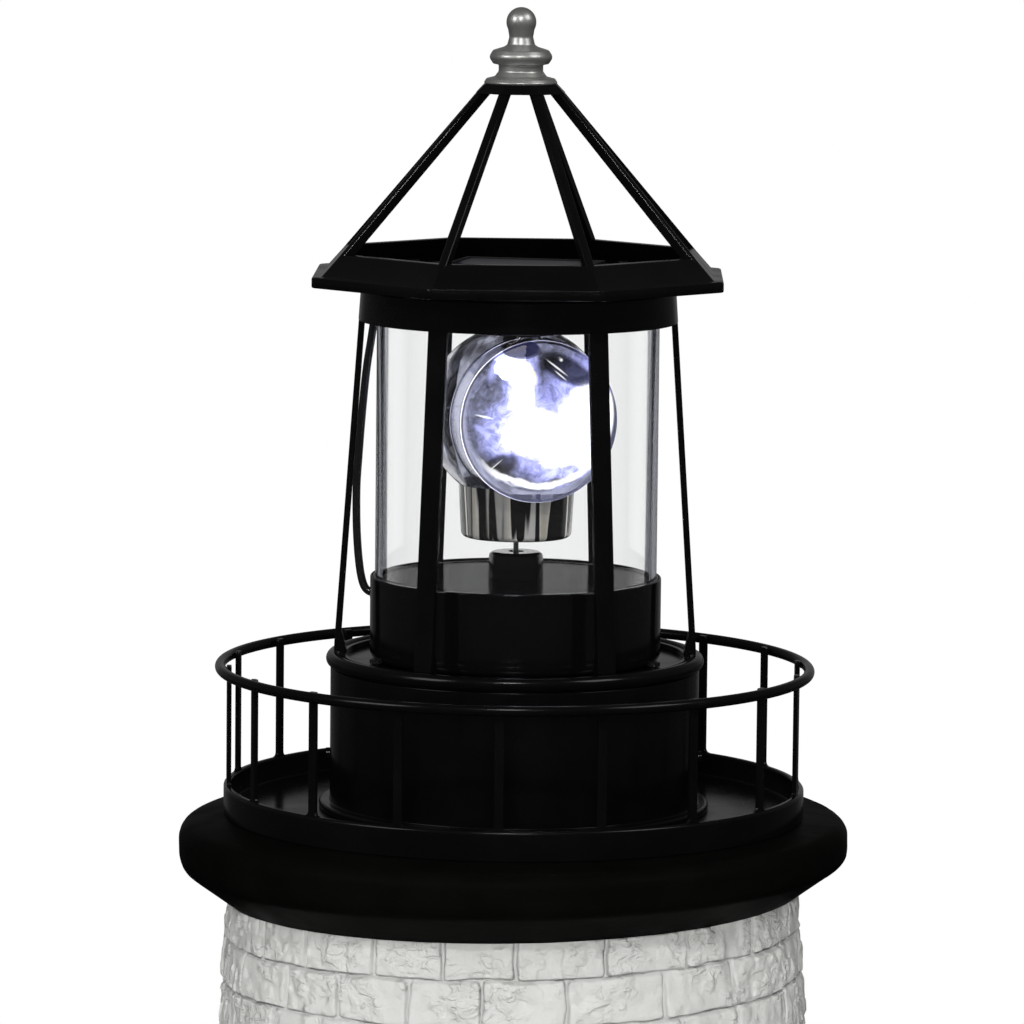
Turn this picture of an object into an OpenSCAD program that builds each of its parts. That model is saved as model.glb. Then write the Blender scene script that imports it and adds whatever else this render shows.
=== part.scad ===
// Garden lighthouse ornament with an open roof frame, a glazed lantern, a slowly turning
// bullseye lens and a railed gallery on a tapered brick tower. Millimetres, +Z up, -Y is the
// front, origin at the middle of the underside.

/* [Tower] */
// Height of the plain plinth under the brickwork
plinth_h = 16; // [10:0.5:40]
// Ledge of the plinth round the foot of the brickwork
plinth_ledge = 3.6; // [2:0.1:30]
// Bevel round the foot of the plinth
plinth_foot_edge = 1.5; // [0.5:0.1:3]
// Bevel round the top of the plinth
plinth_top_edge = 2; // [0.5:0.1:2]
// Height of the brickwork
tower_h = 587; // [480:1:720]
// Distance of the brick face under the cornice from the tray's edge
tower_inset = 2; // [0.5:0.1:8]
// Growth of the tower's radius from the cornice to the plinth
tower_spread = 36.2; // [10:0.1:60]
// Thickness of the cast tower wall
tower_wall = 7; // [5:0.5:9]
// Number of brick courses
course_count = 29; // [20:1:44]
// Height that shows of the top course, which runs on under the cornice
top_course_h = 16.6; // [8:0.1:20]
// Height of a mortar bed
bed_w = 2.2; // [1:0.1:4]
// Depth of a mortar bed
bed_depth = 1.3; // [0.5:0.1:3]
// Thickness of the base plate
base_plate_t = 4; // [2:0.5:8]
// Width of the ledge that the base plate is screwed to
base_ledge = 8; // [7:0.5:14]
// Height of that ledge over the base plate
base_ledge_rise = 8; // [7:0.5:16]
// Length of a base screw
base_screw_l = 7; // [5:0.5:7]

/* [Cornice] */
// Overhang of the cornice past the tray
cornice_proud = 19.8; // [14:0.1:40]
// Height of the cornice from the brickwork to the tray
cornice_h = 35.7; // [30:0.1:50]
// Radius of the opening in the middle of the cornice
cornice_bore_r = 66; // [50:0.5:68]
// Depth that the cornice's ring reaches into the tower
spigot_h = 9; // [5:0.5:20]
// Wall thickness of that ring
spigot_wall = 5; // [3:0.5:10]
// Fall of the cornice's top from the tray to its edge
cornice_fall = 2.2; // [1:0.1:5]
// Radius of the cornice's upper edge
cornice_top_edge_r = 7; // [4:0.5:10]
// Radius of the cornice's lower edge
cornice_low_edge_r = 6; // [4:0.5:10]
// Height of the lower edge's arc over the brickwork
cornice_low_edge_z = 18; // [12:0.5:20]
// Height of the straight stretch at each end of the passage
passage_h = 8; // [4:0.5:12]

/* [Gallery] */
// Outer radius of the tray wall
tray_r = 130.2; // [120:0.1:138]
// Thickness of the tray floor
tray_floor_t = 2.8; // [2:0.1:5]
// Height of the tray wall from its underside
tray_wall_h = 13.3; // [8:0.1:25]
// Thickness of the tray wall
tray_wall_t = 3.3; // [3.2:0.1:5]
// Thickness of a baluster
baluster_t = 2; // [1.5:0.1:3]
// Width of a baluster
baluster_w = 4.2; // [3:0.1:8]
// Number of balusters
baluster_count = 18; // [10:1:24]
// Turn of the first baluster from the front
baluster_turn = -2.8; // [-10:0.1:10]
// Height of the handrail's middle over the tray wall
rail_rise = 52.6; // [35:0.1:80]
// Radius of the handrail's bar
rail_bar_r = 2.35; // [1.5:0.05:4]
// Radius of the round corners at the foot of the balusters
baluster_fillet_r = 2.2; // [1:0.1:4]
// Distance of the balusters' outer face from the tray's edge
baluster_inset = 0.9; // [0.5:0.1:1.2]
// Height of the upright ring that the watch room slips over
upstand_h = 28; // [26:0.5:40]
// Wall thickness of the upright ring
upstand_t = 2.6; // [2:0.1:3]
// Distance of the gallery screws from the upright ring
gallery_screw_inset = 4; // [3.4:0.1:5.4]
// Length of a gallery screw
gallery_screw_l = 9; // [7:0.5:12]
// Ledge of the cornice inside the tray's opening
tray_lip = 2; // [1:0.5:4]
// Radius of the round edge on top of the tray wall
tray_edge_r = 2; // [0.5:0.1:2.5]

/* [Watch room] */
// Ledge of the watch room round the lamp base can
watch_ledge = 17.5; // [15:0.1:25]
// Height of the watch room from the tray floor to the top of its bead
watch_h = 70.2; // [50:0.1:100]
// Wall thickness of the watch room
watch_wall = 2.5; // [1.5:0.1:2.5]
// Radius of the rolled bead's section
bead_r = 3.25; // [2.5:0.05:4]
// Overhang of the bead past the wall
bead_proud = 2; // [1:0.1:2.5]
// Depth of the deck under the top of the bead
deck_drop = 3.2; // [2:0.1:6]
// Thickness of the deck
deck_t = 2.5; // [2:0.1:5]
// Height of the fixing screws over the tray floor
collar_screw_z = 23; // [12:0.5:25]
// Length of a collar screw
collar_screw_l = 7; // [6:0.5:9]
// Width of the foot ring on the tray
foot_ring_w = 4.8; // [2.5:0.1:12]
// Height of the foot ring
foot_ring_h = 3.2; // [2:0.1:6]
// Radius of the foot ring's round edge
foot_edge_r = 2.2; // [0.5:0.1:2.4]
// Thickness of the ledge under the deck
ledge_t = 2.5; // [2:0.1:4]

/* [Lamp base] */
// Height of the can
can_h = 37.5; // [30:0.1:50]
// Wall thickness of the can
can_wall = 1.9; // [1.5:0.1:3]
// Radius of the can's rounded bottom edge
can_edge_r = 4; // [2:0.1:6]
// Depth of the top plate under the can's rim
plate_drop = 1; // [0.8:0.1:6]
// Thickness of the top plate
plate_t = 2.5; // [2:0.1:4]
// Radius of the bearing hub
hub_r = 12.1; // [8:0.1:16]
// Radius of the hub's round edge
hub_edge_r = 1.6; // [0.5:0.1:3]
// Height of the bearing hub
hub_h = 12.1; // [8:0.1:20]
// Radius of the hub's spigot in the top plate
hub_spigot_r = 3.6; // [3:0.1:6]
// Radius of the circle of can screws
can_screw_ring = 38; // [36:0.5:45]
// Radius of a screw boss in the can
boss_r = 3.4; // [3:0.1:4]
// Height of a screw boss over the underside of the can
boss_h = 7; // [6.5:0.5:10]
// Radius of the gearbox
gearbox_r = 15.2; // [15:0.1:20]
// Height of the gearbox
gearbox_h = 8; // [6:0.1:12]
// Distance of the motor screws from the gearbox's edge
motor_screw_inset = 3; // [2:0.1:3]
// Radius of the motor
motor_r = 9; // [7:0.1:9.2]
// Height of the motor over the floor of the can
motor_rise = 3.5; // [3:0.1:5]
// Height of the bearing under the motor
motor_bearing_h = 2; // [1:0.1:2.5]
// Diameter of a battery cell
cell_d = 14.2; // [10:0.1:16]
// Length of a battery cell
cell_l = 50; // [40:0.5:60]
// Radius of a cell's raised end
cell_cap_r = 2.7; // [2:0.1:4]
// Height of a cell's raised end
cell_cap_h = 1.5; // [1:0.1:2]
// Wall of the battery holder
holder_wall = 1.5; // [1:0.1:2.5]
// Travel of the slide switch to each side
switch_travel = 2; // [1:0.1:3]
// Width of the switch knob
knob_w = 3; // [2:0.1:4]
// Height of the switch knob
knob_h = 3.6; // [2:0.1:5]
// Distance that the knob stands out of the can
knob_proud = 1.4; // [0.5:0.1:3]
// Height of the switch over the deck
switch_rise = 17; // [12:0.5:20]
// Depth of the switch body behind its face
switch_depth = 7; // [6:0.5:9]
// Height of the switch body
switch_body_h = 8; // [7.4:0.1:10]
// Height of the switch's ears
ear_h = 7; // [6:0.5:8]
// Thickness of the switch's ears
ear_t = 1.6; // [1:0.1:2]
// Length of a switch screw
switch_screw_l = 4.2; // [3.5:0.1:4.4]

/* [Beacon] */
// Radius of the drive shaft
shaft_r = 1.25; // [1:0.05:2]
// Gap between the hub and the cup
cup_gap = 6.7; // [3:0.1:15]
// Height of the cup
cup_h = 23.7; // [15:0.1:30]
// Radius of the cup's underside
cup_foot_r = 24.6; // [20:0.1:27]
// Radius of the cup's mouth
cup_mouth_r = 25.9; // [22:0.1:28]
// Wall thickness of the cup
cup_wall = 1.2; // [0.8:0.1:2]
// Radius of the cup's round edge
cup_edge_r = 2; // [1:0.1:3]
// Radius of the socket in the cup for the shaft
socket_r = 4; // [3:0.1:6]
// Depth of that socket
socket_h = 6; // [4:0.5:8]
// Outer radius of the globe
globe_r = 40.5; // [36:0.1:46]
// Wall thickness of the globe
globe_wall = 1.8; // [1.2:0.1:3]
// Depth that the globe sits in the cup
globe_seat = 0.9; // [0.5:0.1:3]
// Gap between the globe and the ceiling of the lantern
globe_headroom = 3.3; // [1:0.1:20]
// Radius of the globe's top opening
globe_mouth_r = 16.5; // [12:0.1:17]
// Distance of the lens rim from the globe's widest circle
lens_inset = 4.5; // [4:0.1:10]
// Distance of the lens rim from the beacon's axis
lens_reach = 33; // [26:0.1:38]
// Bulge of the lens over its rim
lens_bulge = 8; // [4:0.1:14]
// Wall thickness of the lens barrel
barrel_wall = 1.8; // [1.2:0.1:3]
// Direction that the lens faces, from the front towards the right
lens_turn = 17; // [-180:1:180]

/* [Lantern] */
// Outer radius of the glass chimney
glass_r = 63; // [56:0.1:63]
// Wall thickness of the glass chimney
glass_wall = 2; // [1.2:0.1:3]
// Gap between the glass chimney and the cage band
cage_gap = 5.4; // [4.6:0.1:8]
// Shift of the cage's feet outward from the middle of the bead
cage_foot_shift = 0.05; // [-0.5:0.05:0.5]
// Thickness of the cage band and posts
cage_t = 2.8; // [2:0.1:3.4]
// Width of a cage post
post_w = 8.4; // [5:0.1:12]
// Number of cage posts
post_count = 6; // [4:1:8]
// Height of the cage band
band_h = 14.6; // [10:0.1:20]
// Depth that the band covers of the glass chimney
band_cover = 2; // [1:0.1:6]
// Radius of the round edge on top of the band
band_edge_r = 1.2; // [0.5:0.1:2]
// Height of a foot gusset over the watch room
gusset_h = 9; // [6:0.5:20]
// Thickness of the cage's foot ring and lugs
foot_t = 2.4; // [2:0.1:3]
// Distance of the cage screws from the watch room's mouth
cage_screw_inset = 7.1; // [6.5:0.1:7.5]
// Wall thickness of the cage's foot ring
foot_wall = 2.2; // [1.5:0.1:2.5]

/* [Solar head] */
// Distance of the pod's wall from the outside of the glass chimney
pod_inset = 1.5; // [1:0.1:8]
// Wall thickness of the pod
pod_wall = 2; // [1.5:0.1:3]
// Height of the pod over its floor
pod_h = 18; // [16:0.1:24]
// Thickness of the pod floor and of the pod's flange
pod_plate_t = 2; // [1.5:0.1:3]
// Side of the square solar panel
panel_side = 64; // [50:0.5:80]
// Thickness of the solar panel
panel_t = 3.4; // [2:0.1:5]
// Turn of the solar panel
panel_turn = -14; // [-45:1:45]
// Thickness of the control board
board_t = 1.6; // [1:0.1:2]
// Length of the control board
board_l = 60; // [50:1:70]
// Width of the control board
board_w = 32; // [28:1:40]
// Distance of the board's screws from its edges
board_hole_inset = 4; // [3.5:0.1:6]
// Length of a board screw
board_screw_l = 6; // [4:0.5:7]
// Distance of the control board from the pod's top wall
board_drop = 6.4; // [4:0.1:7]
// Radius of the lamp holder
lamp_holder_r = 6.7; // [5:0.1:9]
// Length of the lamp holder
lamp_holder_h = 15.2; // [10:0.1:25]
// Width of the holder's flange
holder_flange_w = 3; // [2:0.1:5]
// Thickness of the holder's flange
holder_flange_t = 2; // [1:0.1:3]
// Depth of the lamp's socket in the holder
lamp_socket_h = 4; // [3:0.1:6]
// Radius of the lamp
lamp_r = 5.2; // [3:0.1:6]
// Length of the lamp under its holder
lamp_h = 18; // [10:0.5:24]
// Radius of the lamp holder's threaded neck
neck_r = 4; // [3:0.1:5]
// Height of the ring nut on the neck
nut_h = 3; // [2:0.1:4]
// Width of the ring nut round the neck
nut_w = 3; // [2:0.1:5]
// Radius of the lamp lead
lead_r = 1.8; // [1.2:0.1:1.8]
// Wall of the grommet round the lead
grommet_wall = 1.2; // [0.8:0.1:2]
// Width of the grommet's rims past its wall
grommet_rim = 0.8; // [0.5:0.1:1.5]
// Height of the lead's way into the can over the deck
lead_can_rise = 27.5; // [18:0.1:27.6]
// Height of the lead's way into the pod over its floor
lead_pod_rise = 5; // [4:0.1:7]

/* [Roof] */
// Overhang of the brim's corners past the roof
brim_proud = 5; // [1:0.1:15]
// Thickness of the brim
brim_t = 4.8; // [3:0.1:8]
// Radius of the brim's rounded corners
brim_corner_r = 4; // [2:0.5:8]
// Overhang of the roof's corners past the cage
roof_proud = 21.9; // [16:0.1:35]
// Corner radius of the roof's crown under the finial
crown_r = 17.6; // [17:0.1:22]
// Height of the roof from the brim to the finial
roof_h = 83.9; // [60:0.1:120]
// Height of the sloped band over the brim
eave_h = 9.5; // [5:0.1:20]
// Height of the solid crown
crown_h = 3.9; // [3:0.1:10]
// Level depth of the ribs and the sloped band
rib_depth = 5.6; // [4:0.1:8]
// Width of a rib
rib_w = 4; // [2.5:0.1:8]
// Turn of the roof from square to the front
roof_turn = -0.8; // [-22:0.1:22]
// Distance of the roof screws from the cage's outside
roof_screw_inset = 4.3; // [4.2:0.1:4.7]
// Length of a roof screw
roof_screw_l = 14; // [8:0.5:14]

/* [Finial] */
// Radius of the finial's flange
finial_r = 16.6; // [14:0.1:17]
// Radius of the ball
ball_r = 6.65; // [5:0.05:8]
// Height of the ball's middle over the flange
ball_z = 27.4; // [26:0.1:34]
// Radius of the finial's waist over its flange
waist_r = 9.9; // [8:0.1:11]
// Radius of the round collar
collar_r = 13.6; // [12:0.1:14.5]
// Radius of the stud
stud_r = 2.4; // [1.5:0.1:3]
// Depth of the stud in the finial
stud_grip = 13; // [6:0.5:14]

/* [Screws] */
// Radius of a small screw's shank
screw_r = 1.4; // [1:0.1:1.6]
// Radius of a small screw's head
screw_head_r = 2.8; // [2:0.1:3]
// Height of a small screw's head
screw_head_h = 1.7; // [1:0.1:2.5]
// Length of the cross recess in a screw's head
recess_l = 2.4; // [1.5:0.1:3]
// Width of the cross recess
recess_w = 0.6; // [0.4:0.1:0.8]
// Depth of a sunk screw's head under the surface
head_sink = 0.3; // [0:0.1:0.5]

/* [Fits] */
// Running clearance round the shaft
run_gap = 0.05; // [0.02:0.01:0.1]
// Clearance of parts that slip into each other
slip_gap = 0.1; // [0.05:0.01:0.3]
// Clearance round a screw
screw_gap = 0.1; // [0.05:0.01:0.2]

/* [Hidden] */
$fn = 96;

eps = 0.01;
oct_cos = cos(180 / 8);

// Radii of the tower and the gallery
tower_top_r = tray_r - tower_inset;
tower_foot_r = tower_top_r + tower_spread;
plinth_r = tower_foot_r + plinth_ledge;
cornice_r = tray_r + cornice_proud;
spigot_r = tower_top_r - tower_wall - slip_gap;
baluster_r = tray_r - baluster_inset;
rail_r = baluster_r + rail_bar_r + 3 * slip_gap;

// Radii of the lamp base and the watch room
can_in_r = glass_r + 2 * slip_gap;
can_r = can_in_r + can_wall;
glass_in_r = glass_r - glass_wall;
watch_r = can_r + watch_ledge;
watch_in_r = watch_r - watch_wall;
foot_ring_r = watch_r + foot_ring_w;
bead_ring_r = watch_r + bead_proud - bead_r;
mouth_r = bead_ring_r - bead_r;
upstand_r = watch_in_r - slip_gap;
upstand_in_r = upstand_r - upstand_t;
gallery_screw_ring = upstand_in_r - gallery_screw_inset;
motor_screw_ring = gearbox_r - motor_screw_inset;
shaft_bore_r = shaft_r + run_gap;
screw_bore_r = screw_r + screw_gap;

// Radii of the lantern, the pod and the roof
lens_r = globe_r - lens_inset;
lens_ball_r = (pow(lens_r, 2) + pow(lens_bulge, 2)) / (2 * lens_bulge);
cage_foot_r = bead_ring_r + cage_foot_shift;
cage_top_r = glass_r + cage_gap + cage_t;
cage_screw_ring = mouth_r - cage_screw_inset;
pod_r = glass_r - pod_inset;
pod_flange_r = cage_top_r - 1.6;
roof_screw_ring = cage_top_r - roof_screw_inset;
roof_r = cage_top_r + roof_proud;
brim_r = roof_r + brim_proud;
brim_bore_r = pod_r + 6 * slip_gap;

// Levels, from the ground up
z_tower = plinth_h + tower_h;
z_tray = z_tower + cornice_h;
z_floor = z_tray + tray_floor_t;
z_wall_top = z_tray + tray_wall_h;
z_rail = z_wall_top + rail_rise;
z_bead_top = z_floor + watch_h;
z_deck = z_bead_top - deck_drop;
z_can_top = z_deck + can_h;
z_plate = z_can_top - plate_drop;
z_hub_top = z_plate + hub_h;
z_cup = z_hub_top + cup_gap;
z_cup_top = z_cup + cup_h;
globe_z = z_cup_top - globe_seat + sqrt(pow(globe_r, 2) - pow(cup_mouth_r - cup_wall, 2));
z_glass_top = globe_z + globe_r + globe_headroom;
z_band = z_glass_top - band_cover;
z_band_top = z_band + band_h;
z_pod = z_glass_top + pod_plate_t;
z_pod_top = z_pod + pod_h;
z_brim = z_band_top + pod_plate_t;
z_roof = z_brim + brim_t;
z_crown = z_roof + roof_h;

cage_slope = (cage_foot_r - cage_top_r) / (z_band - z_bead_top);

// The lamp lead's route in an upright plane: out of the pod and down, then into the can. Each
// point is a distance from the wall and a height over the hole
lead_turn = 168;
lead_upper = [[-1.3, 0], [1.1, -0.1], [3.4, -1.9], [4.3, -5.5], [4.5, -10.5], [5.8, -19.5],
    [7.9, -33.5], [9.8, -53.5], [11.2, -72.5]];
lead_lower = [[8.4, 47.8], [8.3, 31.8], [7.7, 20.8], [6.9, 12.8], [5.9, 6.8], [4.5, 2.6],
    [2.5, 0.5], [0.5, 0], [-1.9, 0], [-4.5, 0]];
lead_path = concat(
    [for (p = lead_upper) [pod_r + p[0], z_pod + lead_pod_rise + p[1]]],
    [for (p = lead_lower) [can_r + p[0], z_deck + lead_can_rise + p[1]]]);
lead_exit = lead_path[len(lead_path) - 1];
grommet_flange = 1;
lead_rings = 4;
lead_sides = 8;

// Points of an arc from angle a to angle b
function arc(c, r, a, b, n = 6) =
    [for (i = [0:n]) [c[0] + r * cos(a + (b - a) * i / n), c[1] + r * sin(a + (b - a) * i / n)]];

// A smooth curve through p[i] and p[i + 1] at share t of the way
function spline(p, i, t) =
    let (a = p[max(i - 1, 0)], b = p[i], c = p[i + 1], d = p[min(i + 2, len(p) - 1)])
    0.5 * (2 * b + (c - a) * t + (2 * a - 5 * b + 4 * c - d) * pow(t, 2)
        + (3 * b - 3 * c + d - a) * pow(t, 3));
function smooth(p, n) =
    concat([for (i = [0:len(p) - 2], k = [0:n - 1]) spline(p, i, k / n)], [p[len(p) - 1]]);

module ring(r, wall, h, z = 0) {
    translate([0, 0, z]) difference() {
        cylinder(r = r, h = h);
        translate([0, 0, -eps]) cylinder(r = r - wall, h = h + 2 * eps);
    }
}

// Copies round the axis, the first at angle a
module around(n, a = 0) {
    for (i = [0:n - 1]) rotate([0, 0, a + i * 360 / n]) children();
}

// A pan head screw whose head rests on z = 0, with its shank pointing down
module screw(length) {
    difference() {
        union() {
            cylinder(r = screw_head_r, h = screw_head_h);
            translate([0, 0, -length]) cylinder(r = screw_r, h = length + eps);
        }
        for (a = [0, 90]) rotate([0, 0, a])
            translate([0, 0, screw_head_h]) cube([recess_l, recess_w, 1.4], center = true);
    }
}

// ---- tower ----
course_h = (tower_h - top_course_h) / (course_count - 1);
function face_r(z) = tower_foot_r + (tower_top_r - tower_foot_r) * (z - plinth_h) / tower_h;
plate_r = tower_foot_r - tower_wall;
ledge_z = base_plate_t + base_ledge_rise;
function bed(i) = let (z = plinth_h + i * course_h, h = bed_w / 2)
    [[face_r(z - h), z - h], [face_r(z) - bed_depth, z - h / 2],
     [face_r(z) - bed_depth, z + h / 2], [face_r(z + h), z + h]];

module tower_shell() {
    outside = concat([[plinth_r - plinth_foot_edge, 0], [plinth_r, plinth_foot_edge],
        [plinth_r, plinth_h - plinth_top_edge], [plinth_r - plinth_top_edge, plinth_h],
        [tower_foot_r, plinth_h]],
        [for (i = [1:course_count - 1]) each bed(i)], [[tower_top_r, z_tower]]);
    inside = [[tower_top_r - tower_wall, z_tower], [face_r(ledge_z + base_ledge) - tower_wall,
        ledge_z + base_ledge], [plate_r - base_ledge, ledge_z], [plate_r - base_ledge, base_plate_t],
        [plate_r, base_plate_t], [plate_r, 0]];
    color("#dcdcd6") difference() {
        rotate_extrude() polygon(concat(outside, inside));
        around(6) translate([plate_r - base_ledge / 2, 0, base_plate_t - eps])
            cylinder(r = screw_bore_r, h = base_screw_l);
    }
}

module base_plate() {
    color("#2a2a2a") difference() {
        cylinder(r = plate_r - slip_gap, h = base_plate_t);
        around(6) translate([plate_r - base_ledge / 2, 0, -eps]) {
            cylinder(r = screw_bore_r, h = base_plate_t + 1);
            cylinder(r = screw_head_r + screw_gap, h = screw_head_h + head_sink + eps);
        }
    }
}

module base_screws() {
    color("silver") around(6) translate([plate_r - base_ledge / 2, 0, screw_head_h + head_sink])
        rotate([180, 0, 0]) screw(base_screw_l);
}

// ---- cornice and gallery ----
module cornice() {
    top = z_tray - cornice_fall;
    top_r = cornice_r - cornice_top_edge_r;
    low_r = cornice_r - cornice_low_edge_r;
    low = z_tower + cornice_low_edge_z;
    ring_in_r = spigot_r - spigot_wall;
    outline = concat([[cornice_bore_r, z_tray - passage_h], [cornice_bore_r, z_tray], [tray_r, z_tray]],
        [[top_r, top]], arc([top_r, top - cornice_top_edge_r], cornice_top_edge_r, 78, 0, 6),
        [[cornice_r, low]], arc([low_r, low], cornice_low_edge_r, 0, -58, 5),
        [[tower_top_r + 3 * slip_gap, z_tower], [spigot_r, z_tower], [spigot_r, z_tower - spigot_h],
         [ring_in_r, z_tower - spigot_h], [ring_in_r, z_tower + passage_h]]);
    color("#181818") difference() {
        rotate_extrude() polygon(outline);
        around(4, 45) translate([gallery_screw_ring, 0, z_tray - 7])
            cylinder(r = screw_bore_r, h = 8);
    }
}

// A baluster seen from outside, with a round corner to each side at its foot
module baluster_shape(h) {
    r = baluster_fillet_r;
    translate([-baluster_w / 2, -3]) square([baluster_w, h + 3]);
    difference() {
        translate([-baluster_w / 2 - r, -1]) square([baluster_w + 2 * r, 1 + r]);
        for (s = [-1, 1]) translate([s * (baluster_w / 2 + r), r]) circle(r = r);
    }
}

module gallery_tray() {
    post_h = z_rail + 2 - z_wall_top;
    wall_in = tray_r - tray_wall_t;
    lip_r = cornice_bore_r + tray_lip;
    outline = concat([[lip_r, z_tray], [tray_r, z_tray]],
        arc([tray_r - tray_edge_r, z_wall_top - tray_edge_r], tray_edge_r, 0, 90),
        [[wall_in, z_wall_top], [wall_in, z_floor], [upstand_r, z_floor],
         [upstand_r, z_floor + upstand_h], [upstand_in_r, z_floor + upstand_h],
         [upstand_in_r, z_floor], [lip_r, z_floor]]);
    color("#141414") difference() {
        union() {
            rotate_extrude() polygon(outline);
            intersection() {
                ring(baluster_r, baluster_t, post_h + 3, z_wall_top - 3);
                around(baluster_count, baluster_turn - 90)
                    translate([baluster_r - 12, 0, z_wall_top]) rotate([90, 0, 90])
                        linear_extrude(20) baluster_shape(post_h + 1);
            }
        }
        around(4, -90) translate([upstand_r - 5, 0, z_floor + collar_screw_z])
            rotate([0, 90, 0]) cylinder(r = screw_bore_r, h = 10);
        around(4, 45) translate([gallery_screw_ring, 0, z_tray - 1])
            cylinder(r = screw_bore_r, h = 6);
    }
}

module handrail() {
    color("#161616") union() {
        translate([0, 0, z_rail]) rotate_extrude() translate([rail_r, 0]) circle(r = rail_bar_r);
        around(baluster_count, baluster_turn - 90)
            translate([baluster_r + slip_gap, -baluster_w / 2, z_rail - rail_bar_r * 0.6])
                cube([rail_bar_r, baluster_w, rail_bar_r * 1.2]);
    }
}

module gallery_screws() {
    color("silver") around(4, 45) translate([gallery_screw_ring, 0, z_floor]) screw(gallery_screw_l);
}

// ---- watch room ----
module watch_room_wall() {
    bead_z = z_bead_top - bead_r;
    ledge = z_deck - deck_t;
    ledge_in_r = cage_screw_ring - boss_r;
    color("#141414") difference() {
        union() {
            ring(watch_r, watch_wall, watch_h - bead_r, z_floor);
            translate([0, 0, bead_z]) rotate_extrude()
                translate([bead_ring_r, 0]) circle(r = bead_r);
            ring(watch_r - eps, watch_r - ledge_in_r, ledge_t, ledge - ledge_t);
            rotate_extrude() polygon(concat([[watch_r - 1, z_floor], [foot_ring_r, z_floor]],
                arc([foot_ring_r - foot_edge_r, z_floor + foot_ring_h - foot_edge_r],
                    foot_edge_r, 0, 90),
                [[watch_r - 1, z_floor + foot_ring_h]]));
        }
        around(4, -90) translate([watch_in_r - 3, 0, z_floor + collar_screw_z])
            rotate([0, 90, 0]) cylinder(r = screw_bore_r, h = 12);
        around(3, -30) translate([cage_screw_ring, 0, ledge - ledge_t - 1])
            cylinder(r = screw_bore_r, h = ledge_t + 2);
    }
}

module collar_screws() {
    color("silver") around(4, -90) translate([watch_r, 0, z_floor + collar_screw_z])
        rotate([0, 90, 0]) screw(collar_screw_l);
}

module lamp_deck() {
    color("#141414") difference() {
        translate([0, 0, z_deck - deck_t]) cylinder(r = mouth_r - slip_gap, h = deck_t);
        around(3, 90) translate([can_screw_ring, 0, z_deck - deck_t - 1])
            cylinder(r = screw_bore_r, h = deck_t + 2);
        around(3, -30) translate([cage_screw_ring, 0, z_deck - deck_t - 1])
            cylinder(r = screw_bore_r, h = deck_t + 2);
    }
}

// ---- lamp base ----
module can_lead_bore(r, z) {
    rotate([0, 0, lead_turn]) translate([can_r - 8, 0, z]) rotate([0, 90, 0])
        cylinder(r = r, h = 12);
}

switch_z = z_deck + switch_rise;
switch_face = can_in_r - 1.2;
window_half = switch_travel + knob_w / 2 + 0.4;
switch_half = window_half + 4;
ear_x = switch_half + 3;

module lamp_base_can() {
    color("#0e0e0e") difference() {
        union() {
            rotate_extrude() polygon(concat([[0, z_deck], [can_r - can_edge_r, z_deck]],
                arc([can_r - can_edge_r, z_deck + can_edge_r], can_edge_r, -90, 0, 8),
                [[can_r, z_can_top - 0.6], [can_r - 0.6, z_can_top], [can_in_r, z_can_top],
                 [can_in_r, z_deck + can_edge_r + 1], [can_in_r - can_edge_r, z_deck + can_wall],
                 [0, z_deck + can_wall]]));
            ring(can_in_r + eps, 3, 2, z_plate - plate_t - 2);
            around(3, 90) translate([can_screw_ring, 0, z_deck + can_wall / 2])
                cylinder(r = boss_r, h = boss_h - can_wall / 2);
            // lugs for the switch
            for (s = [-1, 1]) translate([s * ear_x - 3, switch_face - 1.4, switch_z - ear_h / 2])
                cube([6, can_r - switch_face, ear_h]);
        }
        around(3, 90) translate([can_screw_ring, 0, z_deck - 1])
            cylinder(r = screw_bore_r, h = boss_h + 2);
        for (s = [-1, 1]) translate([s * ear_x, switch_face - 2, switch_z]) rotate([-90, 0, 0])
            cylinder(r = screw_bore_r, h = 3.8);
        can_lead_bore(lead_r + grommet_wall + slip_gap, lead_exit[1]);
        translate([-window_half, can_r - 6, switch_z - knob_h / 2 - 3 * slip_gap])
            cube([2 * window_half, 10, knob_h + 6 * slip_gap]);
    }
}

module can_screws() {
    color("silver") around(3, 90) translate([can_screw_ring, 0, z_deck - deck_t])
        rotate([180, 0, 0]) screw(deck_t + boss_h - 1);
}

module can_top_plate() {
    color("#0e0e0e") difference() {
        translate([0, 0, z_plate - plate_t]) cylinder(r = can_in_r - slip_gap, h = plate_t);
        translate([0, 0, z_plate - plate_t - 1])
            cylinder(r = hub_spigot_r + slip_gap, h = plate_t + 2);
        around(2) translate([motor_screw_ring, 0, z_plate - plate_t - 1])
            cylinder(r = screw_bore_r, h = plate_t + 0.6);
    }
}

module bearing_hub() {
    color("#121212") rotate_extrude() polygon(concat(
        [[shaft_bore_r, z_plate - plate_t], [hub_spigot_r, z_plate - plate_t],
         [hub_spigot_r, z_plate], [hub_r, z_plate]],
        arc([hub_r - hub_edge_r, z_hub_top - hub_edge_r], hub_edge_r, 0, 90, 6),
        [[shaft_r + 2.4, z_hub_top], [shaft_r + 1.4, z_hub_top - 1],
         [shaft_bore_r, z_hub_top - 1]]));
}

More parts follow.
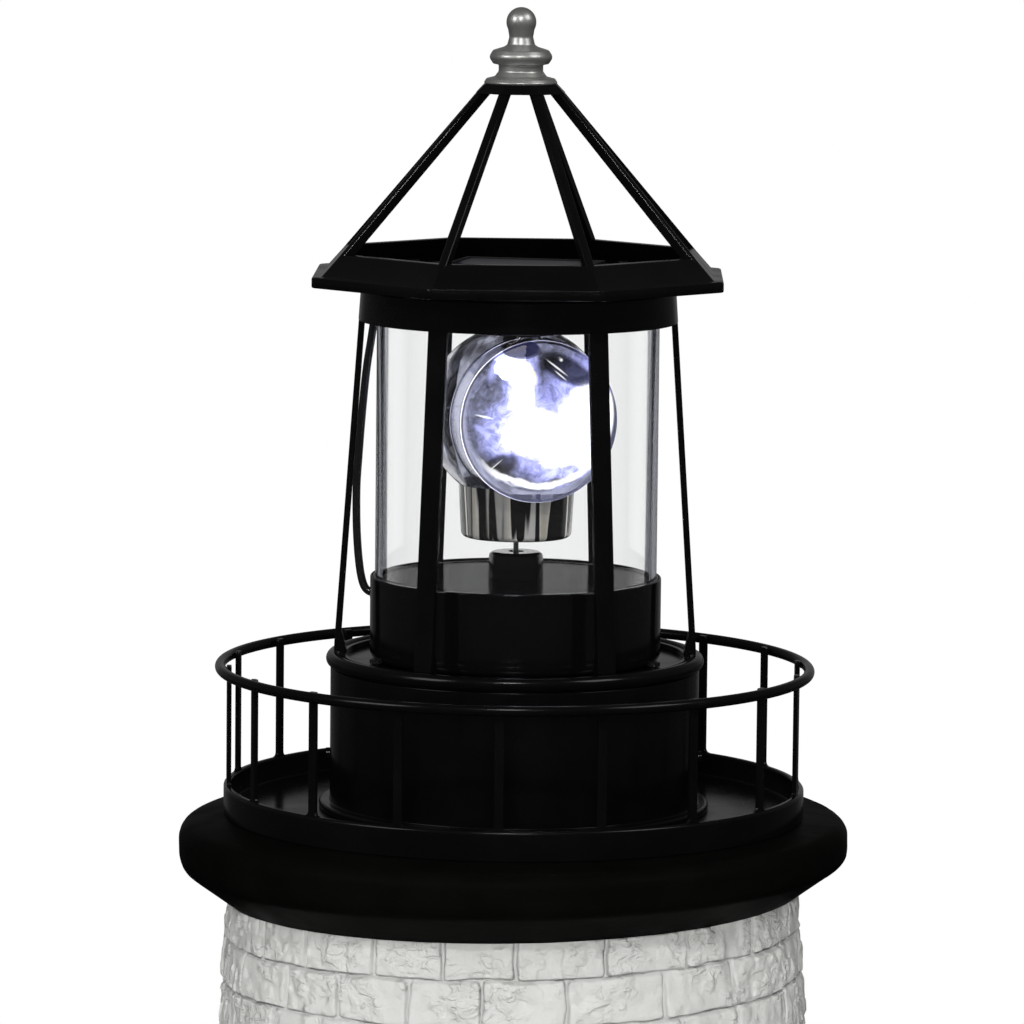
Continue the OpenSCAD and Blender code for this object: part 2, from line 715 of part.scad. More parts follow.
gearbox_z = z_plate - plate_t - gearbox_h;
module gear_motor() {
    motor_z = z_deck + can_wall + motor_rise;
    color("#b9bcc0") difference() {
        union() {
            translate([0, 0, gearbox_z]) cylinder(r = gearbox_r, h = gearbox_h);
            translate([0, 0, motor_z]) cylinder(r = motor_r, h = gearbox_z - motor_z + eps);
            translate([0, 0, motor_z - motor_bearing_h])
                cylinder(r = motor_r - 5, h = motor_bearing_h + eps);
        }
        translate([0, 0, gearbox_z + 2]) cylinder(r = shaft_bore_r, h = gearbox_h);
        around(2) translate([motor_screw_ring, 0, gearbox_z - 1])
            cylinder(r = screw_bore_r, h = gearbox_h + 2);
    }
}

module motor_screws() {
    color("silver") around(2) translate([motor_screw_ring, 0, gearbox_z])
        rotate([180, 0, 0]) screw(gearbox_h + plate_t - 0.7);
}

// The battery holder lies in front of the motor and under the gearbox, its two cells side by side
holder_z = z_deck + can_wall;
cell_z = holder_z + holder_wall + cell_d / 2 + slip_gap;
function cell_y(i) = -(motor_r + 2 + cell_d * (i + 0.5) + slip_gap * i * 3);

module battery_holder() {
    depth = 2 * cell_d + 2 * holder_wall + 6 * slip_gap;
    length = cell_l + 2 * holder_wall + 2 * slip_gap + 1;
    color("#1c1c1c") difference() {
        translate([-length / 2, cell_y(1) - cell_d / 2 - holder_wall - slip_gap, holder_z])
            cube([length, depth, cell_d * 0.7]);
        for (i = [0, 1]) translate([-(cell_l + 1) / 2, cell_y(i), cell_z])
            rotate([0, 90, 0]) cylinder(r = cell_d / 2 + slip_gap, h = cell_l + 1);
    }
}

module battery_cells() {
    for (i = [0, 1]) mirror([i, 0, 0]) translate([-cell_l / 2, cell_y(i), cell_z])
        rotate([0, 90, 0]) color("#3d6b4f") union() {
            cylinder(r = cell_d / 2, h = cell_l - cell_cap_h);
            cylinder(r = cell_cap_r, h = cell_l);
        }
}

// ---- slide switch, in the back of the can ----
module switch_body() {
    color("#202020") difference() {
        union() {
            translate([-switch_half, switch_face - switch_depth, switch_z - switch_body_h / 2])
                cube([2 * switch_half, switch_depth, switch_body_h]);
            for (s = [-1, 1]) translate([s * ear_x - 4, switch_face - 3, switch_z - ear_h / 2])
                cube([8, ear_t, ear_h]);
        }
        translate([-window_half, switch_face - 5, switch_z - knob_h / 2 - 3 * slip_gap])
            cube([2 * window_half, 6, knob_h + 6 * slip_gap]);
        translate([-window_half - 1, switch_face - 5, switch_z - knob_h / 2 - 1])
            cube([2 * window_half + 2, 2, knob_h + 2]);
        for (s = [-1, 1]) translate([s * ear_x, switch_face - 4, switch_z]) rotate([-90, 0, 0])
            cylinder(r = screw_bore_r, h = 4);
    }
}

module switch_screws() {
    color("silver") for (s = [-1, 1]) translate([s * ear_x, switch_face - 3, switch_z])
        rotate([90, 0, 0]) screw(switch_screw_l);
}

// Drawn at the end of its travel where the lamp is on
module switch_slider() {
    color("#dddddd") translate([-switch_travel, switch_face - 4.8, switch_z]) union() {
        translate([-knob_w / 2, 0, -knob_h / 2])
            cube([knob_w, can_r + knob_proud - switch_face + 4.8, knob_h]);
        translate([-knob_w / 2, 0, -knob_h / 2 - 0.7]) cube([knob_w, 1.6, knob_h + 1.4]);
    }
}

// ---- beacon ----
module drive_shaft() {
    color("#a8abb0") translate([0, 0, gearbox_z + 3])
        cylinder(r = shaft_r, h = z_cup + cup_wall + socket_h - 1 - gearbox_z - 3);
}

module beacon_cup() {
    color("#c9ccd0") difference() {
        union() {
            rotate_extrude() polygon(concat([[0, z_cup], [cup_foot_r - cup_edge_r, z_cup]],
                arc([cup_foot_r - cup_edge_r, z_cup + cup_edge_r], cup_edge_r, -90, 0, 6),
                [[cup_mouth_r, z_cup_top], [cup_mouth_r - cup_wall, z_cup_top],
                 [cup_foot_r - cup_wall, z_cup + cup_edge_r + 1],
                 [cup_foot_r - cup_edge_r - 1, z_cup + cup_wall], [0, z_cup + cup_wall]]));
            translate([0, 0, z_cup + eps]) cylinder(r = socket_r, h = cup_wall + socket_h);
        }
        translate([0, 0, z_cup - 1]) cylinder(r = shaft_r, h = cup_wall + socket_h);
        translate([0, 0, globe_z]) sphere(r = globe_r + run_gap);
    }
}

// The beacon's lens axis, as a cylinder of radius r from distance a to distance b
module lens_cylinder(r, a, b) {
    translate([0, 0, globe_z]) rotate([0, 0, lens_turn - 90]) rotate([0, 90, 0])
        translate([0, 0, a]) cylinder(r = r, h = b - a);
}

// One half of the hollow globe, open for the lens
module globe_half(up) {
    difference() {
        translate([0, 0, globe_z]) sphere(r = globe_r);
        translate([0, 0, globe_z]) sphere(r = globe_r - globe_wall);
        translate([0, 0, up ? globe_z - globe_r - 1 : globe_z])
            cylinder(r = globe_r + 1, h = globe_r + 1);
        lens_cylinder(lens_r + slip_gap, 5, globe_r + 5);
        if (up) translate([0, 0, globe_z]) cylinder(r = globe_mouth_r, h = globe_r + 1);
    }
}

module globe_lower() {
    color("#dfe6ee") globe_half(false);
}

module globe_upper() {
    color("#e6ebf2") globe_half(true);
}

module bullseye_lens() {
    root = sqrt(pow(globe_r, 2) - pow(lens_r, 2)) - 1;
    centre = lens_reach + lens_bulge - lens_ball_r;
    half = asin(lens_r / lens_ball_r);
    // barrel and bulging disc, as one outline round the lens axis
    outline = concat([[lens_r - barrel_wall, root], [lens_r, root]],
        arc([0, centre], lens_ball_r, 90 - half, 89, 10),
        [[0, lens_reach + lens_bulge], [0, lens_reach], [lens_r - barrel_wall, lens_reach]]);
    color("#eef2f8") difference() {
        translate([0, 0, globe_z]) rotate([0, 0, lens_turn - 90]) rotate([0, 90, 0])
            rotate_extrude() polygon(outline);
        translate([0, 0, z_cup]) cylinder(r = cup_mouth_r + 0.3, h = cup_h + 0.3);
    }
}

// ---- lantern ----
module glass_chimney() {
    color("#d6e2e6") ring(glass_r, glass_wall, z_glass_top - z_plate, z_plate);
}

module lantern_cage() {
    foot = z_bead_top + slip_gap;
    top_r = cage_top_r - cage_slope * band_h;
    gusset_r = mouth_r - 2 * slip_gap;
    ring_in_r = gusset_r - foot_wall;
    reach = cage_foot_r * 3;
    step = 360 / post_count;
    apex = post_w / 2 / sin(step / 2);
    // foot ring, posts and band as one revolved shell, with a round edge on top
    outline = concat([[ring_in_r, z_deck], [gusset_r, z_deck], [gusset_r, foot],
        [cage_foot_r - cage_slope * slip_gap, foot]],
        arc([top_r - band_edge_r, z_band_top - band_edge_r], band_edge_r, 0, 90, 5),
        [[top_r - cage_t, z_band_top],
         [cage_foot_r - cage_t - cage_slope * gusset_h, z_bead_top + gusset_h],
         [ring_in_r, foot + 2]]);
    color("#141414") difference() {
        union() {
            difference() {
                rotate_extrude() polygon(outline);
                // the openings between the posts
                around(post_count, step / 2 - 60) translate([apex, 0, z_deck + foot_t])
                    linear_extrude(z_band - z_deck - foot_t)
                        polygon([[0, 0], [reach * cos(step / 2), -reach * sin(step / 2)],
                            [reach * cos(step / 2), reach * sin(step / 2)]]);
            }
            around(3, -30) translate([cage_screw_ring - post_w / 2, -post_w / 2, z_deck])
                cube([gusset_r - cage_screw_ring + post_w / 2 - 1, post_w, foot_t]);
            // bosses for the roof screws
            around(4, 45) translate([roof_screw_ring, 0, z_pod])
                cylinder(r = screw_r + 1, h = z_band_top - z_pod);
        }
        around(4, 45) translate([roof_screw_ring, 0, z_pod - 1])
            cylinder(r = screw_bore_r, h = band_h);
        around(3, -30) translate([cage_screw_ring, 0, z_deck - 1])
            cylinder(r = screw_bore_r, h = foot_t + 2);
    }
}

module cage_screws() {
    color("silver") around(3, -30) translate([cage_screw_ring, 0, z_deck + foot_t])
        screw(foot_t + deck_t + ledge_t);
}

// The lead is a tube of lead_sides sides swept along its route
module lamp_lead() {
    path = smooth(lead_path, lead_rings);
    last = len(path) - 1;
    pts = [for (i = [0:last])
        let (t = path[min(i + 1, last)] - path[max(i - 1, 0)], u = t / norm(t))
        for (k = [0:lead_sides - 1]) let (a = 360 * k / lead_sides)
            [path[i][0] - u[1] * lead_r * cos(a), lead_r * sin(a),
             path[i][1] + u[0] * lead_r * cos(a)]];
    sides = [for (i = [0:last - 1], k = [0:lead_sides - 1])
        let (a = i * lead_sides + k, b = i * lead_sides + (k + 1) % lead_sides)
        [a, b, b + lead_sides, a + lead_sides]];
    ends = [[for (k = [lead_sides - 1:-1:0]) k],
        [for (k = [0:lead_sides - 1]) last * lead_sides + k]];
    color("#101010") rotate([0, 0, lead_turn]) polyhedron(points = pts,
        faces = concat([for (f = sides) [f[3], f[2], f[1], f[0]]],
            [for (f = ends) [for (j = [len(f) - 1:-1:0]) f[j]]]));
}

module lead_grommet() {
    rim_r = lead_r + grommet_wall + grommet_rim;
    color("#1a1a1a") rotate([0, 0, lead_turn]) translate([can_in_r - grommet_flange - 0.2, 0, lead_exit[1]])
        rotate([0, 90, 0]) difference() {
            union() {
                cylinder(r = lead_r + grommet_wall, h = can_r - can_in_r + 2.2);
                cylinder(r = rim_r, h = grommet_flange);
                translate([0, 0, can_r - can_in_r + 1.3]) cylinder(r = rim_r, h = grommet_flange);
            }
            translate([0, 0, -1]) cylinder(r = lead_r + run_gap, h = 8);
        }
}

// ---- solar head ----
module pod_floor() {
    color("#161616") difference() {
        translate([0, 0, z_glass_top]) cylinder(r = glass_r + 1.4, h = pod_plate_t);
        rotate([0, 0, lead_turn]) translate([lead_path[3][0], 0, z_glass_top - 1])
            cylinder(r = lead_r + 0.3, h = pod_plate_t + 2);
        translate([0, 0, z_glass_top - 1]) cylinder(r = neck_r + slip_gap, h = pod_plate_t + 2);
    }
}

board_z = z_pod_top - pod_wall - board_drop - board_t;

module board_corners() {
    x = board_l / 2 - board_hole_inset;
    y = board_w / 2 - board_hole_inset;
    for (s = [-x, x], t = [-y, y]) translate([s, t, 0]) children();
}

module solar_pod() {
    flange_z = z_band_top;
    color("#161616") difference() {
        union() {
            ring(pod_r, pod_wall, pod_h, z_pod);
            ring(pod_flange_r, pod_flange_r - pod_r + pod_wall, pod_plate_t, flange_z);
            translate([0, 0, z_pod_top - pod_wall]) cylinder(r = pod_r, h = pod_wall);
            board_corners() translate([0, 0, board_z + board_t])
                cylinder(r = boss_r, h = board_drop + eps);
        }
        board_corners() translate([0, 0, board_z]) cylinder(r = screw_bore_r, h = board_drop);
        around(4, 45) translate([roof_screw_ring, 0, flange_z - 1]) cylinder(r = screw_bore_r, h = 5);
        rotate([0, 0, lead_turn]) translate([pod_r - 4, 0, lead_path[0][1]]) rotate([0, 90, 0])
            cylinder(r = lead_r + run_gap, h = 6);
        translate([0, 0, z_pod_top - pod_wall - 1]) cylinder(r = 2, h = pod_wall + 2);
    }
}

module control_board() {
    color("#1f6b3a") difference() {
        union() {
            translate([-board_l / 2, -board_w / 2, board_z]) cube([board_l, board_w, board_t]);
            translate([-8, -5, board_z - 1.4]) cube([10, 8, 2]);
            translate([12, 4, board_z - 4]) cylinder(r = 3.2, h = 5);
        }
        board_corners() translate([0, 0, board_z - 1]) cylinder(r = screw_bore_r, h = board_t + 2);
    }
}

module board_screws() {
    color("silver") board_corners() translate([0, 0, board_z]) rotate([180, 0, 0]) screw(board_screw_l);
}

module solar_panel() {
    frame_w = 2.4;
    half = panel_side / 2;
    color("#10182c") rotate([0, 0, panel_turn]) translate([0, 0, z_pod_top]) difference() {
        translate([-half, -half, 0]) cube([panel_side, panel_side, panel_t]);
        translate([frame_w - half, frame_w - half, panel_t - 0.4])
            cube([panel_side - 2 * frame_w, panel_side - 2 * frame_w, 1]);
    }
}

module lamp_holder() {
    color("#1a1a1a") translate([0, 0, z_glass_top - lamp_holder_h]) difference() {
        union() {
            cylinder(r = lamp_holder_r, h = lamp_holder_h);
            translate([0, 0, lamp_holder_h - holder_flange_t])
                cylinder(r = lamp_holder_r + holder_flange_w, h = holder_flange_t);
            cylinder(r = neck_r, h = lamp_holder_h + pod_plate_t + nut_h);
        }
        translate([0, 0, -1]) cylinder(r = lamp_r + slip_gap, h = lamp_socket_h + 1);
        cylinder(r = neck_r / 2, h = lamp_holder_h + 10);
    }
}

module lock_ring() {
    color("#303030") translate([0, 0, z_pod]) difference() {
        cylinder(r = neck_r + nut_w, h = nut_h);
        translate([0, 0, -1]) cylinder(r = neck_r + run_gap, h = nut_h + 2);
        around(6) translate([neck_r + nut_w, 0, -1]) cylinder(r = 1, h = nut_h + 2);
    }
}

module led_lamp() {
    color("#fff4d8") translate([0, 0, z_glass_top - lamp_holder_h + 3.6]) union() {
        translate([0, 0, -3.6 - lamp_h + lamp_r]) cylinder(r = lamp_r, h = 3.6 + lamp_h - lamp_r);
        translate([0, 0, -3.6 - lamp_h + lamp_r]) sphere(r = lamp_r);
    }
}

// ---- roof ----
// Octagon with rounded corners; r is the corner radius before rounding
module soft_octagon(r) {
    core = r - brim_corner_r / oct_cos;
    polygon([for (i = [0:7]) let (a = 22.5 + i * 45)
        each arc([core * cos(a), core * sin(a)], brim_corner_r, a - 22.5, a + 22.5, 6)]);
}

// Eight-sided pyramid of the roof, drawn in level by inset
module roof_solid(inset) {
    translate([0, 0, z_roof]) rotate([0, 0, 22.5])
        cylinder(r1 = roof_r - inset, r2 = crown_r - inset, h = roof_h, $fn = 8);
}

module roof_frame() {
    color("#151515") rotate([0, 0, roof_turn]) difference() {
        union() {
            translate([0, 0, z_brim]) linear_extrude(brim_t) soft_octagon(brim_r);
            // sloped band and ribs, cut from one eight-sided shell
            intersection() {
                difference() {
                    roof_solid(0);
                    translate([0, 0, -eps]) roof_solid(rib_depth);
                }
                union() {
                    translate([0, 0, z_roof - 1]) cylinder(r = roof_r + 1, h = eave_h + 1);
                    around(8, 22.5) translate([0, -rib_w / 2, z_roof])
                        cube([roof_r + 1, rib_w, roof_h]);
                }
            }
            intersection() {
                roof_solid(0);
                translate([0, 0, z_crown - crown_h]) cylinder(r = roof_r, h = crown_h + 1);
            }
        }
        translate([0, 0, z_brim - 1]) cylinder(r = brim_bore_r, h = brim_t + 2);
        around(4, 45 - roof_turn) translate([roof_screw_ring, 0, z_brim - 1])
            cylinder(r = screw_bore_r, h = brim_t + 2);
        translate([0, 0, z_crown - crown_h - 1]) cylinder(r = stud_r + run_gap, h = crown_h + 2);
    }
}

module roof_screws() {
    color("silver") around(4, 45) translate([roof_screw_ring, 0, z_roof]) screw(roof_screw_l);
}

// ---- finial ----
module finial() {
    outline = concat([[0, 0], [finial_r, 0], [finial_r, 0.8]],
        arc([finial_r - 2, 0.8], 2, 10, 70, 4), arc([waist_r + 3.7, 7.2], 3.7, -115, -180, 6),
        arc([collar_r - 3.4, 12.3], 3.4, -90, 90, 10), arc([10.4, 20.6], 5, -125, -190, 8),
        [[5.65, ball_z - 4.2]], arc([0, ball_z], ball_r, -24, 89, 12), [[0, ball_z + ball_r]]);
    color("#9a9b9c") difference() {
        translate([0, 0, z_crown]) rotate_extrude() polygon(outline);
        translate([0, 0, z_crown - 1]) cylinder(r = stud_r + run_gap, h = stud_grip + 2);
    }
}

module finial_stud() {
    color("silver") translate([0, 0, z_crown - crown_h])
        cylinder(r = stud_r, h = crown_h + stud_grip);
}

tower_shell();
base_plate();
base_screws();
cornice();
gallery_tray();
handrail();
gallery_screws();
watch_room_wall();
collar_screws();
lamp_deck();
lamp_base_can();
can_screws();
can_top_plate();
bearing_hub();
gear_motor();
motor_screws();
battery_holder();
battery_cells();
switch_body();
switch_screws();
switch_slider();
drive_shaft();
beacon_cup();
globe_lower();
globe_upper();
bullseye_lens();
glass_chimney();
lantern_cage();
cage_screws();
lamp_lead();
lead_grommet();
pod_floor();
solar_pod();
control_board();
board_screws();
solar_panel();
lamp_holder();
lock_ring();
led_lamp();
roof_frame();
roof_screws();
finial();
finial_stud();
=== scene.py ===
"""Garden lighthouse light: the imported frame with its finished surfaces, its camera and its light.

Shape functions work in millimetres, and shell() writes them as metres in the frame's own axes.
"""
import math
from functools import reduce

import bmesh
import bpy
import numpy as np
from mathutils import Matrix


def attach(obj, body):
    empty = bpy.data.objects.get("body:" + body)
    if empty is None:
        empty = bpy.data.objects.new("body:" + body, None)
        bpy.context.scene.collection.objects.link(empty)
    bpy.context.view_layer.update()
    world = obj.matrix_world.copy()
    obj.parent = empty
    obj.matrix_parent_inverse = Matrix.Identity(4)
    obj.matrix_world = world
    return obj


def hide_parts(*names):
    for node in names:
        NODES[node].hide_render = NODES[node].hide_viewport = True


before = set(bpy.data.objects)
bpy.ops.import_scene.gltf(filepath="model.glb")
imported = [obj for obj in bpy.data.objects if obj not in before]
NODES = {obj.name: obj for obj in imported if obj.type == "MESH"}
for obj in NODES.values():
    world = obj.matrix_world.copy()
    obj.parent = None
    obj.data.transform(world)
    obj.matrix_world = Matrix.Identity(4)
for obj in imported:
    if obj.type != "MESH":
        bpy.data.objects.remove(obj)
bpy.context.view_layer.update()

TAU = 2 * math.pi
MM = 0.001
UP = np.array([0.0, 0.0, 1.0])

# Levels above the ground, in millimetres
Z_BRICK, Z_TOWER, Z_TRAY, Z_FLOOR, Z_WALL_TOP, Z_RAIL = 16.0, 603.0, 638.7, 641.5, 652.0, 704.6
Z_BEAD_TOP, Z_DECK, Z_PLATE_LOW, Z_PLATE, Z_CAN_TOP = 711.7, 708.5, 742.5, 745.0, 746.0
Z_HUB_TOP, Z_CUP, Z_CUP_TOP, Z_GLOBE = 757.1, 763.8, 787.5, 818.7
Z_BAND, Z_GLASS_TOP, Z_BAND_TOP, Z_BRIM, Z_ROOF, Z_CROWN = 860.5, 862.5, 875.1, 877.1, 881.9, 965.8

# Radii, in millimetres
FOOT_R, TOP_R, PLINTH_R, PLINTH_IN_R, BASE_SEAT_R = 164.4, 128.2, 167.7, 149.4, 157.4
TRAY_R, TRAY_IN_R, TRAY_HOLE_R, RAIL_R, RAIL_TUBE_R = 130.2, 126.9, 68.0, 131.95, 2.35
WALL_R, WALL_IN_R, WALL_FOOT_R, BEAD_R, BEAD_TUBE_R = 82.6, 80.1, 87.4, 81.35, 3.25
CAN_R, CAN_IN_R, GLASS_R, GLASS_IN_R, HUB_R, HUB_SEAT_R = 65.1, 63.2, 63.0, 61.0, 12.1, 3.6
GLOBE_R, MOUTH_R, LENS_R, BARREL_IN_R = 40.5, 16.5, 36.0, 34.3
BAND_R, CAGE_FOOT_R, DECK_RING_R, LEAD_R = 71.2, 81.4, 77.9, 1.8
BRIM_R, EAVE_R, RIB_TOP_R, BALL_R = 98.1, 93.1, 17.6, 6.65

LENS_TURN, LEAD_TURN, ROOF_TURN = math.radians(17), math.radians(168), math.radians(-0.8)
POSTS = [math.radians(-60 + 60 * k) for k in range(6)]
BALUSTERS = [math.radians(-92.8 + 20 * k) for k in range(18)]


# ---------------------------------------------------------------- camera
FOCAL_PIXELS, PICTURE_PIXELS, SENSOR_MM = 6373.79, 1024, 36
CAMERA_PLACE = (0, -2.8285, 1.11625)
CAMERA_PITCH, CAMERA_YAW, CAMERA_ROLL = 0.12021, -0.00069, 0.01017


def stand(holder, place, right, up, ahead):
    """Puts a camera or a lamp in its place, looking ahead."""
    columns = np.eye(4)
    columns[:3] = np.transpose([right, up, -ahead, place])
    holder.matrix_world = Matrix(columns.tolist())
    bpy.context.scene.collection.objects.link(holder)


def stand_camera():
    """The photograph's view: 2.83 m in front, 1.12 m up, 6.9 degrees down, a long lens."""
    level = math.cos(CAMERA_PITCH)
    ahead = np.array([math.sin(CAMERA_YAW) * level, math.cos(CAMERA_YAW) * level,
                      -math.sin(CAMERA_PITCH)])
    right = np.cross(ahead, UP)
    right /= np.linalg.norm(right)
    up = np.cross(right, ahead)
    c, s = math.cos(CAMERA_ROLL), math.sin(CAMERA_ROLL)
    lens = bpy.data.cameras.new("camera")
    lens.sensor_width = SENSOR_MM
    lens.lens = FOCAL_PIXELS / PICTURE_PIXELS * SENSOR_MM
    lens.clip_end = 60
    camera = bpy.data.objects.new("camera", lens)
    stand(camera, CAMERA_PLACE, right * c + up * s, up * c - right * s, ahead)
    bpy.context.scene.camera = camera


stand_camera()


# ---------------------------------------------------------------- shader maths
class Wire:
    """A socket of a node tree with the sums that the finishes use."""

    def __init__(self, tree, socket):
        self.tree, self.socket = tree, socket

    def _maths(self, operation, *terms):
        node = self.tree.nodes.new("ShaderNodeMath")
        node.operation = operation
        for slot, term in zip(node.inputs, terms):
            if isinstance(term, Wire):
                self.tree.links.new(term.socket, slot)
            else:
                slot.default_value = term
        return Wire(self.tree, node.outputs[0])

    def __add__(self, other):
        return self._maths("ADD", self, other)

    def __radd__(self, other):
        return self._maths("ADD", other, self)

    def __sub__(self, other):
        return self._maths("SUBTRACT", self, other)

    def __rsub__(self, other):
        return self._maths("SUBTRACT", other, self)

    def __mul__(self, other):
        return self._maths("MULTIPLY", self, other)

    def __rmul__(self, other):
        return self._maths("MULTIPLY", other, self)

    def __truediv__(self, other):
        return self._maths("DIVIDE", self, other)

    def __pow__(self, other):
        return self._maths("POWER", self, other)

    def most(self, other):
        return self._maths("MAXIMUM", self, other)

    def least(self, other):
        return self._maths("MINIMUM", self, other)

    def size(self):
        return self._maths("ABSOLUTE", self)

    def wave(self):
        return self._maths("SINE", self)

    def step(self, low, high):
        """0 below low, 1 above high, and a smooth rise between them."""
        node = self.tree.nodes.new("ShaderNodeMapRange")
        node.interpolation_type = "SMOOTHSTEP"
        self.tree.links.new(self.socket, node.inputs["Value"])
        node.inputs["From Min"].default_value = low
        node.inputs["From Max"].default_value = high
        return Wire(self.tree, node.outputs["Result"])

    def band(self, low, high):
        """1 from low to high, with crisp edges."""
        return self.step(low, low + 0.015) - self.step(high, high + 0.015)


class Nodes:
    """A node tree, with one method for every node that isn't maths."""

    def __init__(self, tree):
        self.tree = tree

    def node(self, kind, settings=None, values=None, out=0):
        """A node of one kind: its settings first, then the values or links of its sockets. It gives
        the output out, or a list of outputs where out is several names."""
        node = self.tree.nodes.new("ShaderNode" + kind)
        for key, value in (settings or {}).items():
            setattr(node, key, value)
        for key, value in (values or {}).items():
            if isinstance(value, Wire):
                self.tree.links.new(value.socket, node.inputs[key])
            else:
                node.inputs[key].default_value = value
        if isinstance(out, tuple):
            return [Wire(self.tree, node.outputs[name]) for name in out]
        return Wire(self.tree, node.outputs[out])

    def axes(self, point):
        """The three numbers of a vector."""
        return self.node("SeparateXYZ", None, {"Vector": point}, ("X", "Y", "Z"))

    def mix(self, share, first, second):
        """Colour from first to second by share."""
        ends = [value if isinstance(value, Wire) else (*value, 1) for value in (first, second)]
        return self.node("Mix", {"data_type": "RGBA"}, {0: share, 6: ends[0], 7: ends[1]}, 2)


class Finish(Nodes):
    """A material with one Principled shader."""

    def __init__(self, name, colour=(0.5, 0.5, 0.5), **constants):
        self.material = bpy.data.materials.new(name)
        self.material.use_nodes = True
        super().__init__(self.material.node_tree)
        self.shader = self.tree.nodes["Principled BSDF"]
        self.shader.inputs["Base Color"].default_value = (*colour, 1)
        for key, value in constants.items():
            self.shader.inputs[key.replace("_", " ")].default_value = value

    def place(self, scale=(1, 1, 1)):
        """Object coordinates, in metres, stretched by scale."""
        point = self.node("TexCoord", out="Object")
        if scale == (1, 1, 1):
            return point
        return self.node("Mapping", None, {"Vector": point, "Scale": scale})

    def noise(self, scale, detail=3.0, rough=0.55, at=None, warp=0.0):
        return self.node("TexNoise", None, {"Vector": at or self.place(), "Scale": scale,
                                            "Detail": detail, "Roughness": rough, "Distortion": warp})

    def feed(self, socket, wire):
        self.tree.links.new(wire.socket, self.shader.inputs[socket])
        return self

    def bump(self, height, strength, distance):
        """Small relief from a height in 0..1, distance metres deep."""
        return self.feed("Normal", self.node("Bump", None, {
            "Height": height, "Strength": strength, "Distance": distance}))


def satin_black(name, colour=(0.0022, 0.0022, 0.0023), rough=0.16, grain=420, relief=0.00005,
                gleam=0.16):
    """Sprayed black paint: a fine orange peel, with broad patches a little duller than the rest."""
    paint = Finish(name, colour, Specular_IOR_Level=gleam)
    patches = paint.noise(34, 2).step(0.35, 0.7)
    specks = paint.noise(1500, 1).step(0.62, 0.75)
    paint.feed("Roughness", rough + patches * 0.09 + specks * 0.05)
    paint.feed("Base Color", paint.mix(patches * 0.6, colour, tuple(1.5 * c for c in colour)))
    return paint.bump(paint.noise(grain, 2), 0.35, relief)


def gloss_black(name, gleam):
    """Moulded glossy black with faint wipe marks."""
    skin = Finish(name, (0.003, 0.003, 0.0035), Specular_IOR_Level=gleam)
    marks = skin.noise(60, 4, 0.6, skin.place((1, 1, 0.25))).step(0.4, 0.8)
    skin.feed("Roughness", 0.09 + marks * 0.10)
    return skin.bump(skin.noise(260, 1), 0.15, 0.00005)


def brick_paint():
    """White-grey paint on cast brick: smooth and softly uneven, with chipped patches of finer, warped
    noise. The joints are a little greyer, and a thin broken line of painted shadow darkens each
    brick's lower edge."""
    paint = Finish("painted_brick", (0.72, 0.72, 0.70), Specular_IOR_Level=0.25)
    joint = paint.node("Attribute", {"attribute_name": "joint"}, None, "Fac")
    shade = paint.node("Attribute", {"attribute_name": "shade"}, None, "Fac")
    cloud = paint.noise(22, 4, 0.6).step(0.3, 0.75)
    chalk = paint.noise(130, 4, 0.7).step(0.35, 0.8)
    face = paint.mix(cloud, (0.68, 0.68, 0.655), (0.75, 0.75, 0.725))
    face = paint.mix(chalk * 0.3, face, (0.79, 0.79, 0.77))
    face = paint.mix(joint * 0.3, face, (0.50, 0.50, 0.51))
    # Painted shadow: the thin dark line under each brick's lower edge, from the shade mark, broken up by
    # noise.
    painted_edge_shadow = shade * (0.35 + paint.noise(60, 3).step(0.4, 0.6) * 0.6)
    paint.feed("Base Color", paint.mix(painted_edge_shadow, face, (0.10, 0.10, 0.11)))
    paint.feed("Roughness", 0.62 + chalk * 0.2)
    patches = paint.noise(44, 2, 0.5).step(0.44, 0.58)
    broad = paint.noise(70, 3, 0.5, warp=0.6)
    layers = paint.noise(150, 3, 0.55, paint.place((1, 1, 1.5)), 0.9)
    grain = paint.noise(520, 4, 0.6)
    relief = broad * 1.2 + (layers + layers.step(0.50, 0.62) * 0.2) * patches * 1.1 + grain * 0.16
    return paint.bump(relief * (1 - joint * 0.6), 1.0, 0.0015)


def grey_metal_paint():
    """Silver-grey sprayed paint with fine metal flakes."""
    paint = Finish("grey_paint", (0.54, 0.54, 0.52), Metallic=0.85)
    flakes = paint.node("TexVoronoi", {"feature": "F1"}, {"Vector": paint.place(), "Scale": 2600.0},
                        "Distance").step(0.1, 0.6)
    cloud = paint.noise(110, 3)
    paint.feed("Base Color", paint.mix(flakes * 0.45, (0.58, 0.58, 0.56), (0.34, 0.34, 0.33)))
    paint.feed("Roughness", 0.33 + cloud * 0.10)
    return paint.bump(flakes, 0.12, 0.0001)


def steel():
    """Plain plated steel with turning marks."""
    metal = Finish("steel", (0.52, 0.53, 0.55), Metallic=1.0)
    marks = metal.noise(700, 3, 0.5, metal.place((1, 1, 6)))
    metal.feed("Roughness", 0.24 + marks * 0.18)
    return metal.bump(marks, 0.15, 0.00005)


def dark_screw():
    """Blackened screw with worn, brighter high spots."""
    metal = Finish("dark_screw", (0.05, 0.05, 0.055), Metallic=0.8)
    worn = metal.noise(900, 3).step(0.5, 0.8)
    metal.feed("Base Color", metal.mix(worn, (0.03, 0.03, 0.032), (0.16, 0.16, 0.17)))
    metal.feed("Roughness", 0.26 + worn * 0.12)
    return metal


